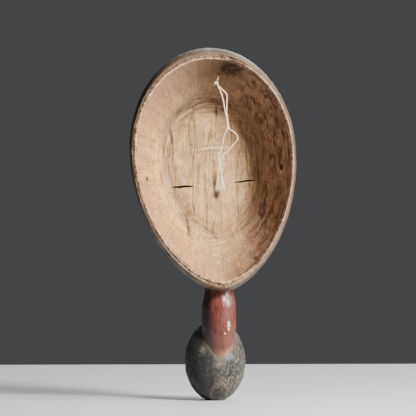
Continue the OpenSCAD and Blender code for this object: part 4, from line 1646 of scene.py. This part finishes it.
        moved = sheet.add("GeometryNodeSetPosition", {"Geometry": copies.outputs[0], "Offset": both})
        reach = sheet.add(
            "FunctionNodeRandomValue",
            {"Min": 0.74, "Max": 1.0, "ID": copies.outputs["Duplicate Index"], "Seed": 11},
            data_type="FLOAT",
        )
        cut = sheet.add("GeometryNodeTrimCurve", {"Curve": moved.outputs[0], "End": reach.outputs[1]}, mode="FACTOR")
        ring = sheet.add("GeometryNodeCurvePrimitiveCircle", {"Resolution": 5, "Radius": given["Fibre Radius"]})
        tubes = sheet.add(
            "GeometryNodeCurveToMesh", {"Curve": cut.outputs[0], "Profile Curve": ring.outputs[0], "Fill Caps": True}
        )
        real = sheet.add("GeometryNodeRealizeInstances", {"Geometry": tubes.outputs[0]})
        clad = sheet.add("GeometryNodeSetMaterial", {"Geometry": real.outputs[0], "Material": twine})
        sheet.feed(sheet.add("NodeGroupOutput").inputs["Geometry"], clad.outputs[0])
        return tree

    def frays(self, twine: bpy.types.Material, ends: Sequence[tuple[Array, Array]]) -> bpy.types.Object:
        """Fans the fibres out of both ends of the string.

        Args:
            twine: what the fibres are made of.
            ends: for each end, its root in millimetres and the way the fibres run.

        Returns:
            One plain mesh of all fibres.
        """
        tree = self._fray_tree(twine)
        labels = {
            s.name: s.identifier for s in tree.interface.items_tree if s.item_type == "SOCKET" and s.in_out == "INPUT"
        }
        parts = []
        for number, (root, way) in enumerate(ends):
            carrier = add_object(f"fray_{number}", bpy.data.meshes.new(f"fray_{number}"))
            fan = carrier.modifiers.new("fibres", "NODES")
            fan.node_group = tree
            for label, value in (
                ("Root", tuple(root * MM)), ("Direction", tuple(unit(way))), ("Count", self.fray_count),
                ("Length", self.fray_l * MM), ("Spread", self.fray_spread * MM), ("Fibre Radius", self.fibre_r * MM),
                ("Seed", 5 + number),
            ):
                fan[labels[label]] = value
            mesh = evaluated_mesh(carrier)
            carrier.modifiers.remove(fan)
            parts.append(mesh)
            bpy.data.objects.remove(carrier)
        joined = bmesh.new()
        for mesh in parts:
            joined.from_mesh(mesh)
        merged = bpy.data.meshes.new("frayed_fibres")
        joined.to_mesh(merged)
        joined.free()
        merged.materials.append(twine)
        merged.shade_smooth()
        return add_object("frayed_fibres", merged)


# ---------------------------------------------------------------- stage


@dataclass
class Studio:
    """The camera, the soft lights and the pale floor."""

    azimuth: float = math.radians(-2.8)
    elevation: float = math.radians(1.6)
    distance: float = 8.0
    view_height: float = 0.458
    aim: tuple[float, float, float] = (-0.0105, -0.052, 0.2145)
    floor_corners: int = 96
    floor_t: float = 12.0

    def camera(self) -> None:
        """Sets up the camera that looks into the hollow."""
        lens = bpy.data.cameras.new("view")
        lens.lens = lens.sensor_width * self.distance / self.view_height
        camera = add_object("view", lens)
        flat = math.cos(self.elevation)
        away = Vector((math.sin(self.azimuth) * flat, -math.cos(self.azimuth) * flat, math.sin(self.elevation)))
        camera.location = Vector(self.aim) + away * self.distance
        camera.rotation_euler = (-away).to_track_quat("-Z", "Y").to_euler()
        bpy.context.scene.camera = camera

    def _lamp(
        self, name: str, at: tuple[float, float, float], target: Vector, size: float, power: float, tint: Colour
    ) -> None:
        """Hangs one square soft light that faces a target."""
        light = bpy.data.lights.new(name, "AREA")
        light.shape, light.size, light.energy, light.color = "SQUARE", size, power, tint
        lamp = add_object(name, light)
        lamp.location = target + Vector(at)
        lamp.rotation_euler = (target - lamp.location).to_track_quat("-Z", "Y").to_euler()

    def lights(self) -> None:
        """Hangs the key light to the right above the hollow, a weak fill and an even pale surround."""
        target = Vector((0, -0.03, 0.22))
        self._lamp("key", (0.90, -1.06, 0.84), target, 0.36, 87.0, (1.0, 0.975, 0.925))
        self._lamp("side", (1.48, -0.50, 0.42), target, 0.5, 36.0, (1.0, 0.98, 0.95))
        self._lamp("fill", (-1.3, -1.0, 0.4), target, 1.2, 0.8, (0.92, 0.96, 1.0))
        self._lamp("back", (0.3, 1.4, 0.9), target, 0.9, 16.0, (1.0, 1.0, 1.0))
        world = bpy.data.worlds.new("surround")
        world.use_nodes = True
        shade = world.node_tree.nodes["Background"]
        shade.inputs["Color"].default_value = (0.5, 0.51, 0.53, 1.0)
        shade.inputs["Strength"].default_value = 0.13
        bpy.context.scene.world = world

    def floor(self, effects: Effects) -> None:
        """Lays the floor under the ball."""
        count = self.floor_corners
        turn = full_turn(count)
        edge = np.column_stack(
            [
                900 * np.sign(np.cos(turn)) * np.abs(np.cos(turn)) ** 0.5,
                150 + 650 * np.sign(np.sin(turn)) * np.abs(np.sin(turn)) ** 0.5,
                0 * turn,
            ]
        )
        top = edge + [0, 0, -0.05]
        slab = np.vstack([top, edge - [0, 0, self.floor_t]])
        faces = grid_faces(2, count) + [tuple(range(count)), tuple(range(count, 2 * count))]
        floor = make_object("floor", slab, faces, smooth=False)
        floor.data.materials.append(PaleFloor("pale_floor", effects).make())


# ---------------------------------------------------------------- making it


def string_axis(frame: dict) -> tuple[Array, Array]:
    """Returns the middle of the knot on the peg, in millimetres, and the way the peg points."""
    joint = next(j for j in frame["joints"] if j["child"] == "string")
    return np.array(joint["pos_m"]) / MM, np.array(joint["axis"], dtype=float)


def hang_string(frame: dict, effects: Effects) -> None:
    knot, peg_dir = string_axis(frame)
    kit = PegAndString(knot, peg_dir)
    twine = Twine("twine", effects).make()
    peg = kit.peg()
    peg.data.materials.append(
        PlainWood(
            "peg_wood", effects, light=(0.52, 0.36, 0.24), dark=(0.22, 0.13, 0.08), stretch=(1.0, 0.4, 0.3)
        ).make()
    )
    finish_piece(peg, "carving", "peg_wood", "crown_peg")
    knots = {
        "peg_knot": kit.hitch(),
        "middle_knot": kit.overhand("knot_middle", kit.middle_knot, 1.45, 0.4),
        "lower_knot": kit.overhand("knot_lower", kit.lower_knot, 1.45, 1.3),
    }
    strands = {side: kit.strand(side) for side in Strand}
    ends = [
        (path[-1] - 1.5 * unit(path[-1] - path[-8]), np.array(way))
        for (_, path), way in zip(strands.values(), ((-0.06, 0.0, -1.0), (0.14, -0.03, -1.0)))
    ]
    fibres = kit.frays(twine, ends)
    store(fibres.data, "fold", np.zeros(len(fibres.data.vertices)))
    for node, piece in knots.items():
        piece.data.materials.append(twine)
        finish_piece(piece, "string", "twine", node)
    finish_piece(fibres, "string", "twine", "frayed_ends")
    for side, (piece, path) in strands.items():
        piece.data.materials.append(twine)
        finish_piece(piece, "string", "twine", f"string_{side.value}")
        LOG.info("%s end of the string: %.1f mm", side.value, path_length(path))


def main() -> None:
    """Builds the stage, the string, the mask, the neck and the ball, in that order."""
    logging.basicConfig(level=logging.INFO, format="%(name)s: %(message)s")
    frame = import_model()
    effects = Effects()
    studio = Studio()
    studio.camera()
    hang_string(frame, effects)
    carving = MaskCarving()
    carving.settle()
    mask = carving.build()
    carving.dress(mask, effects)
    finish_piece(mask, "carving", "carved_wood", "mask_shell")
    support = NeckAndBall()
    support.settle()
    neck, ball = support.neck(mask), support.ball()
    support.dress(neck, ball, effects)
    finish_piece(neck, "carving", "red_painted_wood", "neck")
    finish_piece(ball, "carving", "dark_wood", "ball_foot")
    dowel = PlainWood("dowel_wood", effects).make()
    for node in ("chin_dowel", "ball_dowel"):
        stick = frame["nodes"][node].data.materials
        if not stick:
            stick.append(dowel)
        for index in range(len(stick)):
            stick[index] = dowel
    studio.lights()
    studio.floor(effects)


if __name__ == "__main__":
    main()
